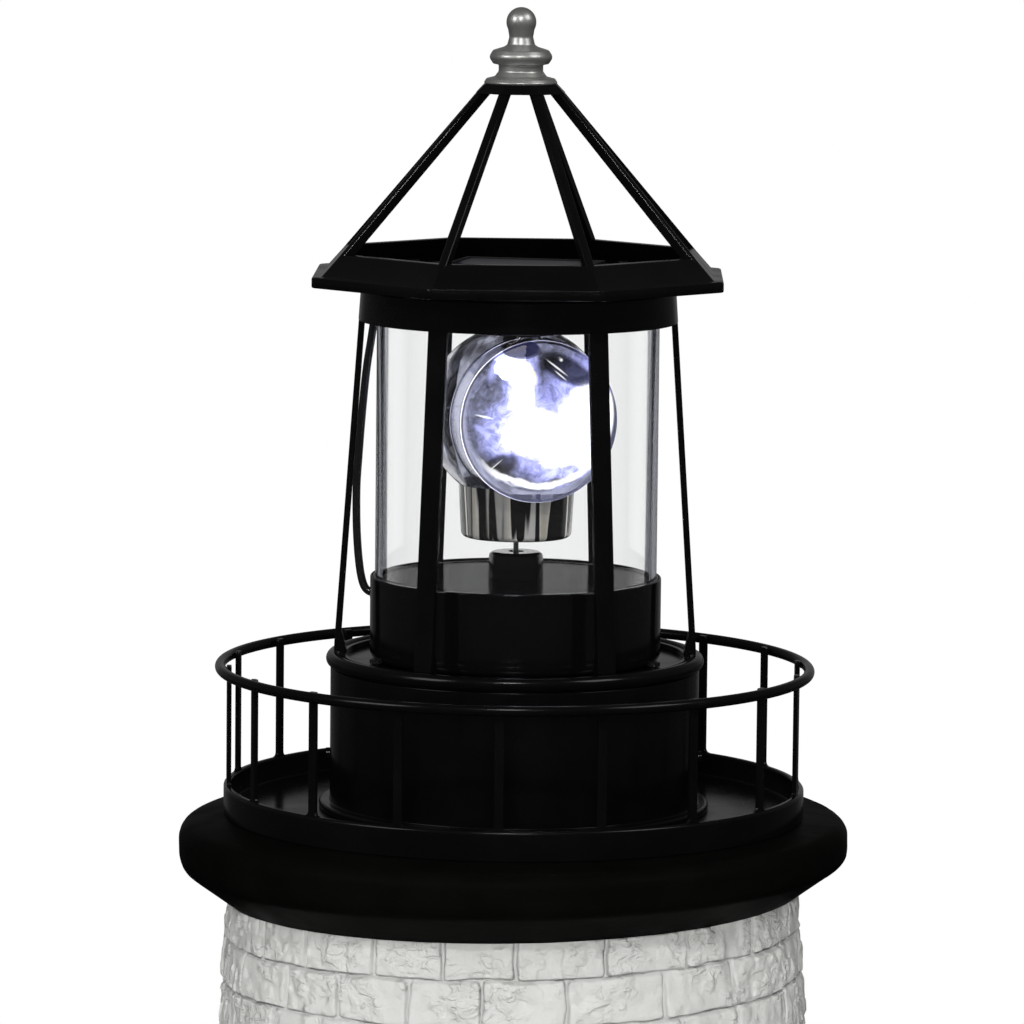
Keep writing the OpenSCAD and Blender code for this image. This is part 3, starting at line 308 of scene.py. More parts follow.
def mirror_chrome():
    """Chrome whose colour carries painted reflections: broad upright bands of grey, warm and dark, with
    crisp edges, stand in for the surroundings mirrored in the cup."""
    metal = Finish("mirror_chrome", (0.62, 0.61, 0.59), Metallic=0.55)
    x, y, z = metal.axes(metal.place())
    across = {"X": x * 52, "Y": y * 52}
    first = metal.noise(1.3, 1, 0.3, metal.node("CombineXYZ", None, across))
    second = metal.noise(2.3, 1, 0.3, metal.node("CombineXYZ", None, {**across, "Z": 3.7}))
    # Painted reflections: the grey, warm and dark bands stand in for what the cup mirrors.
    grey = metal.mix(second.step(0.36, 0.62), (0.30, 0.30, 0.29), (0.80, 0.79, 0.76))
    warm = metal.mix(second.band(0.50, 0.53), grey, (0.66, 0.60, 0.47))
    dark = first.band(0.475, 0.54).most(second.band(0.40, 0.45)).most(second.step(0.575, 0.59))
    metal.feed("Base Color", metal.mix(dark, warm, (0.02, 0.02, 0.02)))
    metal.feed("Roughness", 0.16 + metal.noise(300, 2) * 0.05)
    return metal


def clear_glass(name, colour, ior, rough=0.0, edge=None):
    """Clear glass or clear plastic. Where the view runs along its wall, it takes its edge colour."""
    glass = Finish(name, colour, Transmission_Weight=1.0, IOR=ior)
    haze = glass.noise(240, 2)
    glass.feed("Roughness", rough + haze * 0.012)
    if edge:
        along = glass.node("LayerWeight", None, {"Blend": 0.5}, "Facing").step(0.655, 0.70)
        glass.feed("Base Color", glass.mix(along, colour, edge))
    return glass


def glass_with_painted_smears(name, dark, light, ior, share=0.5):
    """Clear plastic with painted reflections: long soft smears of dark and pale, painted into its colour,
    stand in for surroundings drawn out by its uneven wall.
    """
    glass = Finish(name, light, Transmission_Weight=1.0, IOR=ior)
    drawn = glass.noise(30, 3, 0.6, glass.place((1, 1, 0.45)), 1.5)
    fine = glass.noise(110, 3, 0.6, glass.place((1, 1, 0.3)), 1.0)
    # Painted reflections: dark and pale smears mixed into the base colour.
    painted_smear = (drawn * 0.7 + fine * 0.3).step(share - 0.10, share + 0.09)
    glass.feed("Base Color", glass.mix(painted_smear, dark, light))
    glass.feed("Roughness", 0.01 + fine * 0.03)
    return glass.bump(drawn, 0.12, 0.0006)


def patch(p, q, centre, half, turn=0.0):
    """1 in the middle of an ellipse, 0 on its edge and less outside: 1 - (a / A)^2 - (b / B)^2, where a
    and b are the distances from the middle along the ellipse's own axes."""
    across, up = p - centre[0], q - centre[1]
    c, s = math.cos(math.radians(turn)), math.sin(math.radians(turn))
    along, beside = (across * c + up * s) / half[0], (up * c - across * s) / half[1]
    return 1 - (along * along + beside * beside)


def patch_group(p, q, *ellipses):
    """The greatest of several patches."""
    return reduce(Wire.most, [patch(p, q, *ellipse) for ellipse in ellipses])


# Radius of the painted glow pattern on the lens, and its height over the lens's middle, in metres
PATTERN_R, PATTERN_RISE = 0.034, 0.003


def bullseye_glass_with_painted_glow():
    """The lit bullseye, with its light painted: the glass has its own emission, which stands in for
    the lamp seen through it. A painted glow fills the glass with a white core: an upright column
    with a warm spot, a broad foot and the right edge. Round it lie a marbled lavender halo of
    painted glow, a painted bright crescent low on the rim, painted shade at the upper right and
    under the lamp holder, and a few thin painted glints and soft sheens, which are painted
    reflections.
    p0 and q0 run right and up from the middle of the pattern, 1 at its rim. Noise makes p and q
    wander from them."""
    # Painted light: the lens has its own emission, a glow that stands in for the lamp seen through it.
    glass = Finish("lens_glass", (0.5, 0.52, 0.66), Transmission_Weight=1.0, IOR=1.49,
                   Emission_Strength=1.15)
    x, y, z = glass.axes(glass.place())
    p0 = (x * math.cos(LENS_TURN) + y * math.sin(LENS_TURN)) / PATTERN_R
    q0 = (z - (Z_GLOBE * MM + PATTERN_RISE)) / PATTERN_R
    sway = glass.noise(46, 4, 0.65) - 0.5
    rise = glass.noise(46, 4, 0.65, glass.place((1, 1, -1.3))) - 0.5
    p, q = p0 + sway * 0.24, q0 + rise * 0.24
    column = patch(p0 + sway * 0.10, q, (-0.27, 0.20), (0.16, 0.58))
    core = column.most(patch_group(p, q, ((-0.12, -0.20), (0.43, 0.32)),
                                   ((0.66, -0.14), (0.50, 0.58)), ((0.34, -0.44), (0.40, 0.22), 20)))
    far = ((p + 0.04) * (p + 0.04) + (q - 0.18) * (q - 0.18)) ** 0.5
    crescent = (1 - ((far - 1.08).size() / 0.06)).least(1.35 - (p + 0.06).size() * 1.6)
    crescent = crescent.least(-0.25 - q)
    marble = glass.noise(150, 4, 0.7, warp=1.4).step(0.36, 0.62)
    halo = core.step(-2.4, 0.0) * (0.50 + marble * 0.50)
    # Painted reflections: thin glints and soft sheens, as of the lamps mirrored in the glass.
    painted_glint = patch_group(p0, q0, ((0.20, 0.62), (0.20, 0.016), -38), ((0.24, 0.52), (0.12, 0.013), -40),
                        ((0.26, 0.72), (0.03, 0.026)), ((-0.76, 0.0), (0.12, 0.018), -12),
                        ((-0.62, -0.64), (0.15, 0.010), 44))
    painted_sheen = patch_group(p0, q0, ((-0.60, 0.66), (0.07, 0.30), -22), ((-0.78, -0.18), (0.16, 0.06), -35))
    painted_sheen = painted_sheen.step(0.0, 1.0) * 0.55
    # Painted light: the white of the core, the glints and the crescent.
    white = core.step(-0.05, 0.30).most(painted_glint.step(0.0, 0.9) * 0.7).most(crescent.step(0.0, 0.6) * 0.8)
    # Painted glow: the warm spot of the lamp's tip.
    warm = patch(p, q, (-0.17, 0.56), (0.10, 0.18), 20).step(0.0, 0.7) * 0.8
    # Painted shade: dark under the lamp holder and at the upper right of the glow.
    holder = patch(p0, q0, (-0.26, 0.86), (0.26, 0.13)).step(0.0, 0.2)
    shadow = patch_group(p, q, ((0.36, 0.60), (0.42, 0.18), -20), ((0.30, -0.84), (0.22, 0.05), 6))
    shadow = shadow.most(patch(p, q, (-0.50, -0.62), (0.26, 0.16), 20) - 0.2).step(-0.25, 0.5)
    inside = (1.0 - (p0 * p0 + q0 * q0) ** 0.5).step(-0.02, 0.04)
    lit = glass.mix((halo * (1 - shadow * 0.85)).most(painted_sheen), (0.0, 0.0, 0.0), (0.42, 0.44, 0.93))
    lit = glass.mix(white, lit, (1.0, 1.0, 1.0))
    lit = glass.mix(warm, lit, (1.0, 0.86, 0.42))
    lit = glass.mix(holder, lit, (0.008, 0.009, 0.04))
    glass.feed("Emission Color", glass.mix(inside, (0.035, 0.037, 0.06), lit))
    # Painted shade and marbling in the glass's own colour too: darker under the holder and at the upper
    # right.
    clear = glass.mix(marble, (0.12, 0.125, 0.17), (0.42, 0.43, 0.58))
    clear = glass.mix(shadow.most(holder), clear, (0.03, 0.03, 0.038))
    glass.feed("Base Color", glass.mix(inside, (0.58, 0.59, 0.70), clear))
    glass.feed("Roughness", 0.02 + marble * 0.02)
    return glass.bump(glass.noise(120, 2), 0.22, 0.0004)


def dull_plastic(name, colour, rough=0.5):
    """Moulded plastic with a fine spark-eroded grain."""
    plastic = Finish(name, colour)
    grain = plastic.noise(900, 2)
    plastic.feed("Roughness", rough + grain * 0.12)
    plastic.feed("Base Color", plastic.mix(plastic.noise(40, 2) * 0.4, colour,
                                           tuple(min(1, 1.35 * c + 0.004) for c in colour)))
    return plastic.bump(grain, 0.2, 0.00008)


def lead_sleeve():
    """Glossy black sleeve of the lamp lead."""
    sleeve = Finish("lead_rubber", (0.010, 0.010, 0.011), Specular_IOR_Level=0.55)
    sleeve.feed("Roughness", 0.16 + sleeve.noise(160, 2) * 0.12)
    return sleeve.bump(sleeve.noise(320, 2), 0.2, 0.00006)


# Sizes of the solar panel's pattern, of a battery cell and of the lamp's warm end, in metres
FINGER_PITCH, CELL_PITCH, PANEL_HALF, CELL_HALF = 0.0016, 0.0148, 0.0292, 0.0238
WARM_FROM, WARM_TO = 0.838, 0.849


def solar_cells():
    """Dark blue cells in a grid with thin grey fingers, inside a black edge."""
    cells = Finish("solar_cells", (0.01, 0.014, 0.04), Specular_IOR_Level=0.05)
    turned = cells.node("Mapping", None, {"Vector": cells.place(), "Rotation": (0, 0, math.radians(14))})
    x, y, z = cells.axes(turned)
    finger = (x * (math.pi / FINGER_PITCH)).wave().size().step(0.0, 0.22)
    split = (y * (math.pi / CELL_PITCH)).wave().size().step(0.0, 0.10)
    frost = cells.noise(180, 3).step(0.3, 0.8)
    blue = cells.mix(frost, (0.003, 0.004, 0.010), (0.007, 0.009, 0.022))
    lined = cells.mix(finger, (0.022, 0.024, 0.030), blue)
    edge = x.size().most(y.size()).step(PANEL_HALF, PANEL_HALF + 0.0006)
    parted = cells.mix(split, (0.04, 0.04, 0.045), lined)
    cells.feed("Base Color", cells.mix(edge, parted, (0.012, 0.012, 0.012)))
    cells.feed("Roughness", 0.22 + edge * 0.3)
    return cells


def board_green():
    """Circuit board lacquer over a faint copper layout, dark on the parts."""
    board = Finish("board_green", (0.03, 0.16, 0.07))
    tracks = board.node("TexVoronoi", {"feature": "DISTANCE_TO_EDGE"}, {
        "Vector": board.place(), "Scale": 260.0}, "Distance").step(0.02, 0.05)
    board.feed("Base Color", board.mix(tracks, (0.05, 0.22, 0.10), (0.02, 0.12, 0.05)))
    board.feed("Roughness", 0.32 + tracks * 0.1)
    return board


def cell_sleeve():
    """Shrunk plastic sleeve of a battery cell, with steel ends."""
    sleeve = Finish("cell_sleeve", (0.03, 0.16, 0.07))
    x, y, z = sleeve.axes(sleeve.place())
    ends = x.size().step(CELL_HALF, CELL_HALF + 0.0002)
    sleeve.feed("Base Color", sleeve.mix(ends, (0.03, 0.17, 0.08), (0.6, 0.6, 0.6)))
    sleeve.feed("Metallic", ends)
    sleeve.feed("Roughness", 0.25 + sleeve.noise(200, 2) * 0.1)
    return sleeve


def lamp_glow():
    """The lit lamp: white with a warm tip at its holder."""
    lamp = Finish("lamp_glow", (0.9, 0.9, 0.95), Roughness=0.3, Emission_Strength=6.0)
    x, y, z = lamp.axes(lamp.place())
    warm = z.step(WARM_FROM, WARM_TO)
    lamp.feed("Emission Color", lamp.mix(warm, (0.86, 0.88, 1.0), (1.0, 0.80, 0.35)))
    return lamp


PAINT = satin_black("black_paint")
CORNICE_PAINT = satin_black("black_cornice", (0.0024, 0.0024, 0.0021), 0.42, 240, 0.0003, 0.008)
GLOSS = gloss_black("gloss_black", 0.4)
PLATE = gloss_black("black_plate", 0.003)
BRICK = brick_paint()
GREY = grey_metal_paint()
STEEL = steel()
SCREW = dark_screw()
CHROME = mirror_chrome()
CHIMNEY = clear_glass("chimney_glass", (0.985, 0.99, 0.99), 1.45, edge=(0.10, 0.105, 0.125))
GLOBE = glass_with_painted_smears("clear_globe", (0.12, 0.12, 0.14), (0.80, 0.81, 0.90), 1.47, 0.47)
SEAM = clear_glass("globe_seam", (0.80, 0.82, 0.95), 1.47)
BARREL = glass_with_painted_smears("lens_barrel", (0.34, 0.34, 0.46), (0.74, 0.75, 0.92), 1.40)
BULLSEYE = bullseye_glass_with_painted_glow()
DULL = dull_plastic("dark_plastic", (0.016, 0.016, 0.017))
KNOB = dull_plastic("switch_knob", (0.62, 0.62, 0.60), 0.42)
LEAD = lead_sleeve()
PANEL = solar_cells()
BOARD = board_green()
CELLS = cell_sleeve()
LAMP = lamp_glow()


# ---------------------------------------------------------------- shape functions
def rounded(corners, steps=6):
    """Closed outline from corners (x, y, radius). A corner becomes an arc of its radius, whose centre
    lies on the corner's bisector at radius / sin(half angle), with one more point on each straight
    side so that the side stays flat in the light. A radius of 0 keeps the point."""
    points = np.array([c[:2] for c in corners], float)
    outline = []
    for i, (x, y, radius) in enumerate(corners):
        here = points[i]
        back, on = points[i - 1] - here, points[(i + 1) % len(points)] - here
        back_l, on_l = np.linalg.norm(back), np.linalg.norm(on)
        back, on = back / back_l, on / on_l
        half = 0.5 * math.acos(float(np.clip(back @ on, -1, 1)))
        reach = min(radius / math.tan(half), 0.42 * back_l, 0.42 * on_l) if radius else 0
        if reach < 1e-5 or half > 1.56:
            outline.append(here[None])
            continue
        size = reach * math.tan(half)
        bisector = (back + on) / np.linalg.norm(back + on)
        centre = here + bisector * size / math.sin(half)
        spoke = here + back * reach - centre
        sweep = math.pi - 2 * half
        sign = 1 if back[0] * on[1] - back[1] * on[0] < 0 else -1
        t = sign * np.linspace(0, sweep, steps + 1)[:, None]
        arc = centre + np.cos(t) * spoke + np.sin(t) * np.array([-spoke[1], spoke[0]])
        margin = 0.22 * reach
        outline.append(np.concatenate([[here + back * (reach + margin)], arc,
                                       [here + on * (reach + margin)]]))
    return np.concatenate(outline)


def turned(outline, n=288, wobble=None):
    """The outline (r, z) carried round the vertical axis: x = r cos a, y = r sin a."""
    a = np.arange(n) * TAU / n
    r, z = outline[:, :1] + 0 * a, outline[:, 1:] + 0 * a
    if wobble is not None:
        r = r + wobble(a[None] + 0 * r, z)
    return np.stack([r * np.cos(a), r * np.sin(a), z], -1)


def circle(n, wide, high=None):
    """n points round a circle, or round an ellipse of two half sizes."""
    a = np.arange(n) * TAU / n
    return np.stack([wide * np.cos(a), (high or wide) * np.sin(a)], -1)


def spoke(angle):
    """The directions out from the axis at an angle, and to the side of it."""
    c, s = math.cos(angle), math.sin(angle)
    return np.array([c, s, 0]), np.array([-s, c, 0])


def upright(z):
    """Points on the axis at the heights z."""
    return np.stack([0 * z, 0 * z, z], -1)


def capped(sheet):
    """The sheet with one more row at each end, drawn in to the end's middle."""
    ends = [np.repeat(sheet[k].mean(0)[None, None], sheet.shape[1], 1) for k in (0, -1)]
    return np.concatenate([ends[0], sheet, ends[1]])


def carried(path, across, out, section):
    """The section (s, t) carried along a path: point = path + s across + t out, with capped ends. The
    section and the two directions may each be one for all path points or one for each."""
    across, out = np.broadcast_to(across, path.shape), np.broadcast_to(out, path.shape)
    section = np.broadcast_to(section, (len(path), *np.shape(section)[-2:]))
    return capped(path[:, None] + section[..., :1] * across[:, None] + section[..., 1:] * out[:, None])


def bar_section(width, thick, radius, steps=3):
    """Rectangle with round corners, width along s and thick along t."""
    w, t = width / 2, thick / 2
    return rounded([(-w, -t, radius), (w, -t, radius), (w, t, radius), (-w, t, radius)], steps)


LATTICE_ROWS = 257


def lattice(a, columns, v, seed, push=0.0):
    """Smooth noise in -1..1 round the axis: random values on a whole-number lattice, with some columns
    in a turn of the angle a and its rows along v, blended between lattice points by 3t^2 - 2t^3."""
    table = np.random.default_rng(seed).uniform(-1, 1, (columns, LATTICE_ROWS))
    u = a * columns / TAU + push
    iu, iv = np.floor(u).astype(int), np.floor(v).astype(int)
    fu, fv = u - iu, v - iv
    fu, fv = fu * fu * (3 - 2 * fu), fv * fv * (3 - 2 * fv)
    left, right = iu % columns, (iu + 1) % columns
    below, above = iv % LATTICE_ROWS, (iv + 1) % LATTICE_ROWS
    low = table[left, below] * (1 - fu) + table[right, below] * fu
    high = table[left, above] * (1 - fu) + table[right, above] * fu
    return low * (1 - fv) + high * fv


def quads(rows, columns, closed):
    """Faces of a sheet of points, by point number, with its closed directions joined."""
    index = np.arange(rows * columns).reshape(rows, columns)
    if "r" in closed:
        index = np.concatenate([index, index[:1]])
    if "c" in closed:
        index = np.concatenate([index, index[:, :1]], 1)
    return np.stack([index[:-1, :-1], index[1:, :-1], index[1:, 1:], index[:-1, 1:]], -1).reshape(-1, 4)


def shell(name, sheets, body, finish, stands_for=(), sharp=38, marks=None, weld=True):
    """One mesh from sheets of points (rows, columns, 3) in millimetres, each with its closed
    directions: "r" joins the last row to the first, "c" the last column to the first. Each sheet is
    turned so that its faces point out of the space that it encloses."""
    points, faces, start = [], [], 0
    for grid, closed in sheets:
        quad = quads(*grid.shape[:2], closed)
        flat = grid.reshape(-1, 3) - grid.reshape(-1, 3).mean(0)
        a, b, c, d = (flat[quad[:, k]] for k in range(4))
        volume = (a * np.cross(b, c)).sum() + (a * np.cross(c, d)).sum()
        faces.append((quad if volume > 0 else quad[:, ::-1]) + start)
        points.append(grid.reshape(-1, 3) * MM)
        start += len(flat)
    points, faces = np.concatenate(points), np.concatenate(faces)
    mesh = bpy.data.meshes.new(name)
    mesh.vertices.add(len(points))
    mesh.vertices.foreach_set("co", points.astype(np.float32).ravel())
    mesh.loops.add(faces.size)
    mesh.loops.foreach_set("vertex_index", faces.astype(np.int32).ravel())
    mesh.polygons.add(len(faces))
    mesh.polygons.foreach_set("loop_start", np.arange(0, faces.size, 4, dtype=np.int32))
    mesh.polygons.foreach_set("loop_total", np.full(len(faces), 4, np.int32))
    mesh.update(calc_edges=True)
    for mark, values in (marks or {}).items():
        mesh.attributes.new(mark, "FLOAT", "POINT").data.foreach_set(
            "value", values.astype(np.float32).ravel())
    return dress(name, mesh, body, finish, stands_for, sharp, weld)


def dress(name, mesh, body, finish, stands_for=(), sharp=38, weld=True):
    """Makes the mesh a finished piece of one body: doubles merged, smooth but for its sharp edges."""
    if weld:
        work = bmesh.new()
        work.from_mesh(mesh)
        bmesh.ops.remove_doubles(work, verts=work.verts, dist=1e-6)
        bmesh.ops.dissolve_degenerate(work, edges=work.edges, dist=1e-7)
        work.to_mesh(mesh)
        work.free()
    mesh.polygons.foreach_set("use_smooth", np.ones(len(mesh.polygons), bool))
    mesh.set_sharp_from_angle(angle=math.radians(sharp))
    mesh.materials.append(finish.material)
    piece = bpy.data.objects.new(name, mesh)
    bpy.context.scene.collection.objects.link(piece)
    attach(piece, body)
    if stands_for:
        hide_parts(*stands_for)
    return piece


def solid_of_revolution(name, corners, body, finish, stands_for=(), n=288, steps=6, wobble=None):
    """A piece that is one outline with rounded corners, carried round the vertical axis."""
    return shell(name, [(turned(rounded(corners, steps), n, wobble), "rc")], body, finish,
                 stands_for)


# ---------------------------------------------------------------- brick tower
COURSES, TOP_COURSE_H, BRICK_L, WALL_T, LEAN = 29, 16.6, 34.5, 7.0, 0.024
COURSE_H = (Z_TOWER - Z_BRICK - TOP_COURSE_H) / (COURSES - 1)
# Places of the upright joints that the photograph shows, right of the middle, in millimetres
TOP_JOINTS = {28: (-110, -90, -60, -30, 1.5, 41, 76, 106),
              27: (-119, -99, -76, -45, -13, 24, 67, 97, 120)}


def tower_share(z):
    """Height as a share of the brick part of the tower."""
    return (z - Z_BRICK) / (Z_TOWER - Z_BRICK)


def tower_radius(share):
    """Radius of the tower's cone at a share of its height."""
    return FOOT_R - (FOOT_R - TOP_R) * share


def brick_joints():
    """The angle of each upright joint, course by course from the ground: bricks of random length that
    leave no joint near one in the course below. The two top courses have the lengths that show."""
    random = np.random.default_rng(5)
    courses = []
    for course in range(COURSES):
        count = int(round(TAU * tower_radius((course + 0.5) / COURSES) / BRICK_L))
        best = None
        for _ in range(40):
            lengths = random.uniform(0.72, 1.28, count)
            joints = np.cumsum(lengths) / lengths.sum() * TAU + random.uniform(0, TAU)
            joints = np.sort(joints % TAU)
            gap = TAU if not courses else np.abs(
                (joints[:, None] - courses[-1][None] + math.pi) % TAU - math.pi).min()
            if best is None or gap > best[0]:
                best = (gap, joints)
        courses.append(best[1])
    for course, seen in TOP_JOINTS.items():
        radius = tower_radius((course + 0.5) / COURSES)
        front = np.sort(-math.pi / 2 + np.arcsin(np.array(seen) / radius))
        rest = np.linspace(front[-1], front[0] + TAU, 15)[1:-1]
        rest = rest + random.uniform(-0.04, 0.04, rest.shape)
        courses[course] = np.sort(np.concatenate([front, rest]) % TAU)
    return courses


JOINTS = brick_joints()


CORNER_R, JOINT_DEPTH = 2.4, 1.25


def bed(course, a):
    """Height of the bed under a course: level at the foot and at the top of the tower, and between
    them with a slow and a quick wander."""
    inner = (course > 0) & (course < COURSES)
    return Z_BRICK + course * COURSE_H + inner * (
        0.75 * lattice(a, 38, course * 7.31, 3) + 0.35 * lattice(a, 130, course * 3.1, 4))


def course_at(a, z):
    """The course that a point is in, between its own wandering beds."""
    course = np.clip(np.floor((z - Z_BRICK) / COURSE_H).astype(int), 0, COURSES - 1)
    course = np.where(z < bed(course, a), course - 1, course)
    course = np.where(z > bed(course + 1, a), course + 1, course)
    return np.clip(course, 0, COURSES - 1)


def bricks_at(course, a, z):
    """How far each point is from the nearest upright joint of its course, and how far its brick stands
    out there by its own height and tilt."""
    to_joint, own = np.zeros(z.shape), np.zeros(z.shape)
    for k in range(COURSES):
        here = course == k
        if not here.any():
            continue
        radius = tower_radius(tower_share(z[here]))
        ends = np.concatenate([JOINTS[k], JOINTS[k][:1] + TAU])
        wander = 0.6 * lattice(a[here], 60, z[here] / 7.0, 17) / radius
        angle = (a[here] + wander - ends[0]) % TAU + ends[0]
        brick = np.clip(np.searchsorted(ends, angle, side="right") - 1, 0, len(ends) - 2)
        left, right = ends[brick], ends[brick + 1]
        to_joint[here] = np.minimum(angle - left, right - angle) * radius
        height, tilt, lean_back = np.random.default_rng(100 + k).uniform(-1, 1, (3, len(ends)))
        along = (angle - (left + right) / 2) / (right - left) * 2
        up = ((z[here] - Z_BRICK) / COURSE_H % 1 - 0.5) * 2
        own[here] = 0.45 * height[brick] + 0.33 * tilt[brick] * along + 0.30 * lean_back[brick] * up
    return to_joint, own


def brick_relief(a, z):
    """Unevenness of a brick's face: broad and soft swells and, on worn patches, chips and creases."""
    broad = lattice(a, 62, z / 13.0, 21)
    soft = lattice(a, 170, z / 5.4, 26, 0.3 * broad)
    worn = np.clip((lattice(a, 58, z / 11.0, 27) - 0.12) / 0.22, 0, 1)
    chips = np.clip((lattice(a, 210, z / 4.4, 22, 0.5 * broad) + 0.03) / 0.20, 0, 1)
    crease = np.abs(lattice(a, 120, z / 6.1 + 0.6 * broad, 25, 0.4 * broad))
    return 0.50 * broad + 0.62 * soft + worn * (0.80 * chips + 1.3 * np.minimum(crease, 0.16) - 0.4)


def brick_face(a, z):
    """How far the brick face stands out of the tower's cone at angle a and height z, how much of a
    joint is there, 1 in its middle and 0 on a brick, and how much of the painted shadow line at a
    brick's lower edge: a bell curve of the height over the bed. The distance d inside a brick with
    corners of radius R is R less the length of the two distances by which the point is nearer than R
    to the bed and to the joint. The brick rises over its edge by 3t^2 - 2t^3 and has its own height
    and tilt, a pillow shape and its relief. The cone takes over at the tower's foot and top."""
    course = course_at(a, z)
    over, under = z - bed(course, a), bed(course + 1, a) - z
    to_joint, own = bricks_at(course, a, z)
    from_bed = np.maximum(CORNER_R - np.minimum(over, 0.35 + 0.55 * under), 0)
    from_joint = np.maximum(CORNER_R - 1.1 * (to_joint - 0.15), 0)
    d = CORNER_R - np.hypot(from_bed, from_joint)
    d = d + 0.12 * lattice(a, 300, z / 3.1, 19) + 0.3 * lattice(a, 110, z / 8.0, 20)
    t = np.clip((d - 0.15) / 1.1, 0, 1)
    face = t * t * (3 - 2 * t)
    # Painted shadow: a thin dark line just above each bed, under the brick's lower edge, fading near the
    # upright joints and broken by noise.
    shade = np.exp(-((over - 0.60) / 0.50) ** 2) * np.clip((to_joint - 1.5) / 2, 0, 1)
    shade = shade * np.clip(0.6 + 1.1 * lattice(a, 70, z / 20, 33), 0, 1)
    pillow = 0.95 * (1 - np.exp(-np.maximum(d, 0) / 2.6))
    stands = face * (0.85 + own + brick_relief(a, z) + pillow) - JOINT_DEPTH
    edge = np.minimum((z - Z_BRICK) / 1.5, 1) * np.minimum(Z_TOWER - z + 0.6, 1)
    return np.clip(stands, -2.2, 1.5) * np.clip(edge, 0, 1), 1 - face, shade


def lean(x, z):
    """Rise of the cast tower's courses towards the right, which grows from its foot to its top."""
    return LEAN * x * np.clip(tower_share(z), 0, 1)


def brick_ring(name, low, high, rows, n, stands_for):
    """One stretch of the tower: the brick face outside, carried over its two rims to a plain wall."""
    a = np.arange(n) * TAU / n
    z = np.linspace(low, high, rows)
    angle, level = a[None] + 0 * z[:, None], z[:, None] + 0 * a
    cone = tower_radius(tower_share(level))
    proud, joint, shade = brick_face(angle, level)
    r = np.concatenate([cone + proud, cone[[-1, 0]] - WALL_T])
    level = np.concatenate([level, level[[-1, 0]]])
    x, y = r * np.cos(a), r * np.sin(a)
    grid = np.stack([x, y, level + lean(x, level)], -1)
    marks = {"joint": np.concatenate([joint, 0 * joint[:2]]),
             "shade": np.concatenate([shade, 0 * shade[:2]])}
    shell(name, [(grid, "rc")], "lighthouse", BRICK, stands_for, 180, marks, weld=False)


def plinth_wobble(a, z):
    """Slight unevenness of the cast plinth."""
    return 0.25 * lattice(a, 90, z / 6, 31)


def build_tower():
    """Six stretches of brick, the upper three, which the photograph shows, with a finer grid."""
    levels = [Z_BRICK + c * COURSE_H for c in (0, 9, 18, 26, 27, 28)] + [Z_TOWER]
    for k in range(6):
        rows, columns = (128, 720) if k < 3 else (62, 1560)
        brick_ring(f"brick_courses_{k + 1}", levels[k], levels[k + 1], rows, columns,
                   ("tower_shell",) if k == 5 else ())
    solid_of_revolution("plinth", [
        (BASE_SEAT_R, 0, 0), (PLINTH_R, 0, 1.4), (PLINTH_R, Z_BRICK, 1.8), (163, Z_BRICK + 1.2, 0),
        (PLINTH_IN_R, Z_BRICK + 0.5, 0), (PLINTH_IN_R, 4, 0), (BASE_SEAT_R, 4, 0)],
        "lighthouse", BRICK, wobble=plinth_wobble)


# ---------------------------------------------------------------- cornice and gallery
def cast_wobble(a, z):
    """Slight unevenness of the cast and brushed cornice."""
    return 0.22 * lattice(a, 44, z / 9, 41) + 0.10 * lattice(a, 150, z / 4, 42)


def build_cornice():
    """The moulding as one turned outline. Outside the tray's seat it leans with the tower under it."""
    outline = rounded([
        (66, Z_TRAY - 8, 0.5), (66, Z_TRAY, 0.5), (TRAY_R, Z_TRAY - 0.1, 0.6), (150.0, 635.4, 7.5),
        (150.1, 618.4, 8.5), (128.8, Z_TOWER + 0.1, 0.4), (121.0, Z_TOWER, 0.2),
        (121.0, Z_TOWER - 9, 0.6), (116.1, Z_TOWER - 9, 0.6), (116.1, Z_TOWER + 8, 1.5)], 8)
    grid = turned(outline, 420, cast_wobble)
    radius = np.hypot(grid[..., 0], grid[..., 1])
    share = np.clip((radius - 131) / 14, 0, 1)
    low = np.clip((625 - grid[..., 2]) / 12, 0, 1)
    grid[..., 2] += grid[..., 0] * (0.010 * share * (1 - low) + LEAN * low)
    shell("cornice_moulding", [(grid, "rc")], "lighthouse", CORNICE_PAINT, ("cornice",))


BALUSTER_W, FILLET_R = 4.2, 2.2


def baluster(angle):
    """A flat upright strip on the tray wall: its width runs w + 2 r (1 - sqrt(1 - (1 - h/r)^2)) near
    the foot, a round fillet of radius r, and it is w above that."""
    h = np.concatenate([[-3, -0.6], np.linspace(0, FILLET_R, 9), [3.2, 20, 40, 52.6, 53.9, 54.5]])
    low = np.clip(1 - np.clip(h, 0, None) / FILLET_R, 0, 1)
    half = BALUSTER_W / 2 + FILLET_R * (1 - np.sqrt(1 - low ** 2)) * (h < FILLET_R)
    half[-1] -= 0.45
    out, side = spoke(angle)
    section = np.array([bar_section(2 * w, 2.0, 0.45, 2) for w in half])
    return carried(out * 128.3 + upright(Z_WALL_TOP + h), side, out, section)


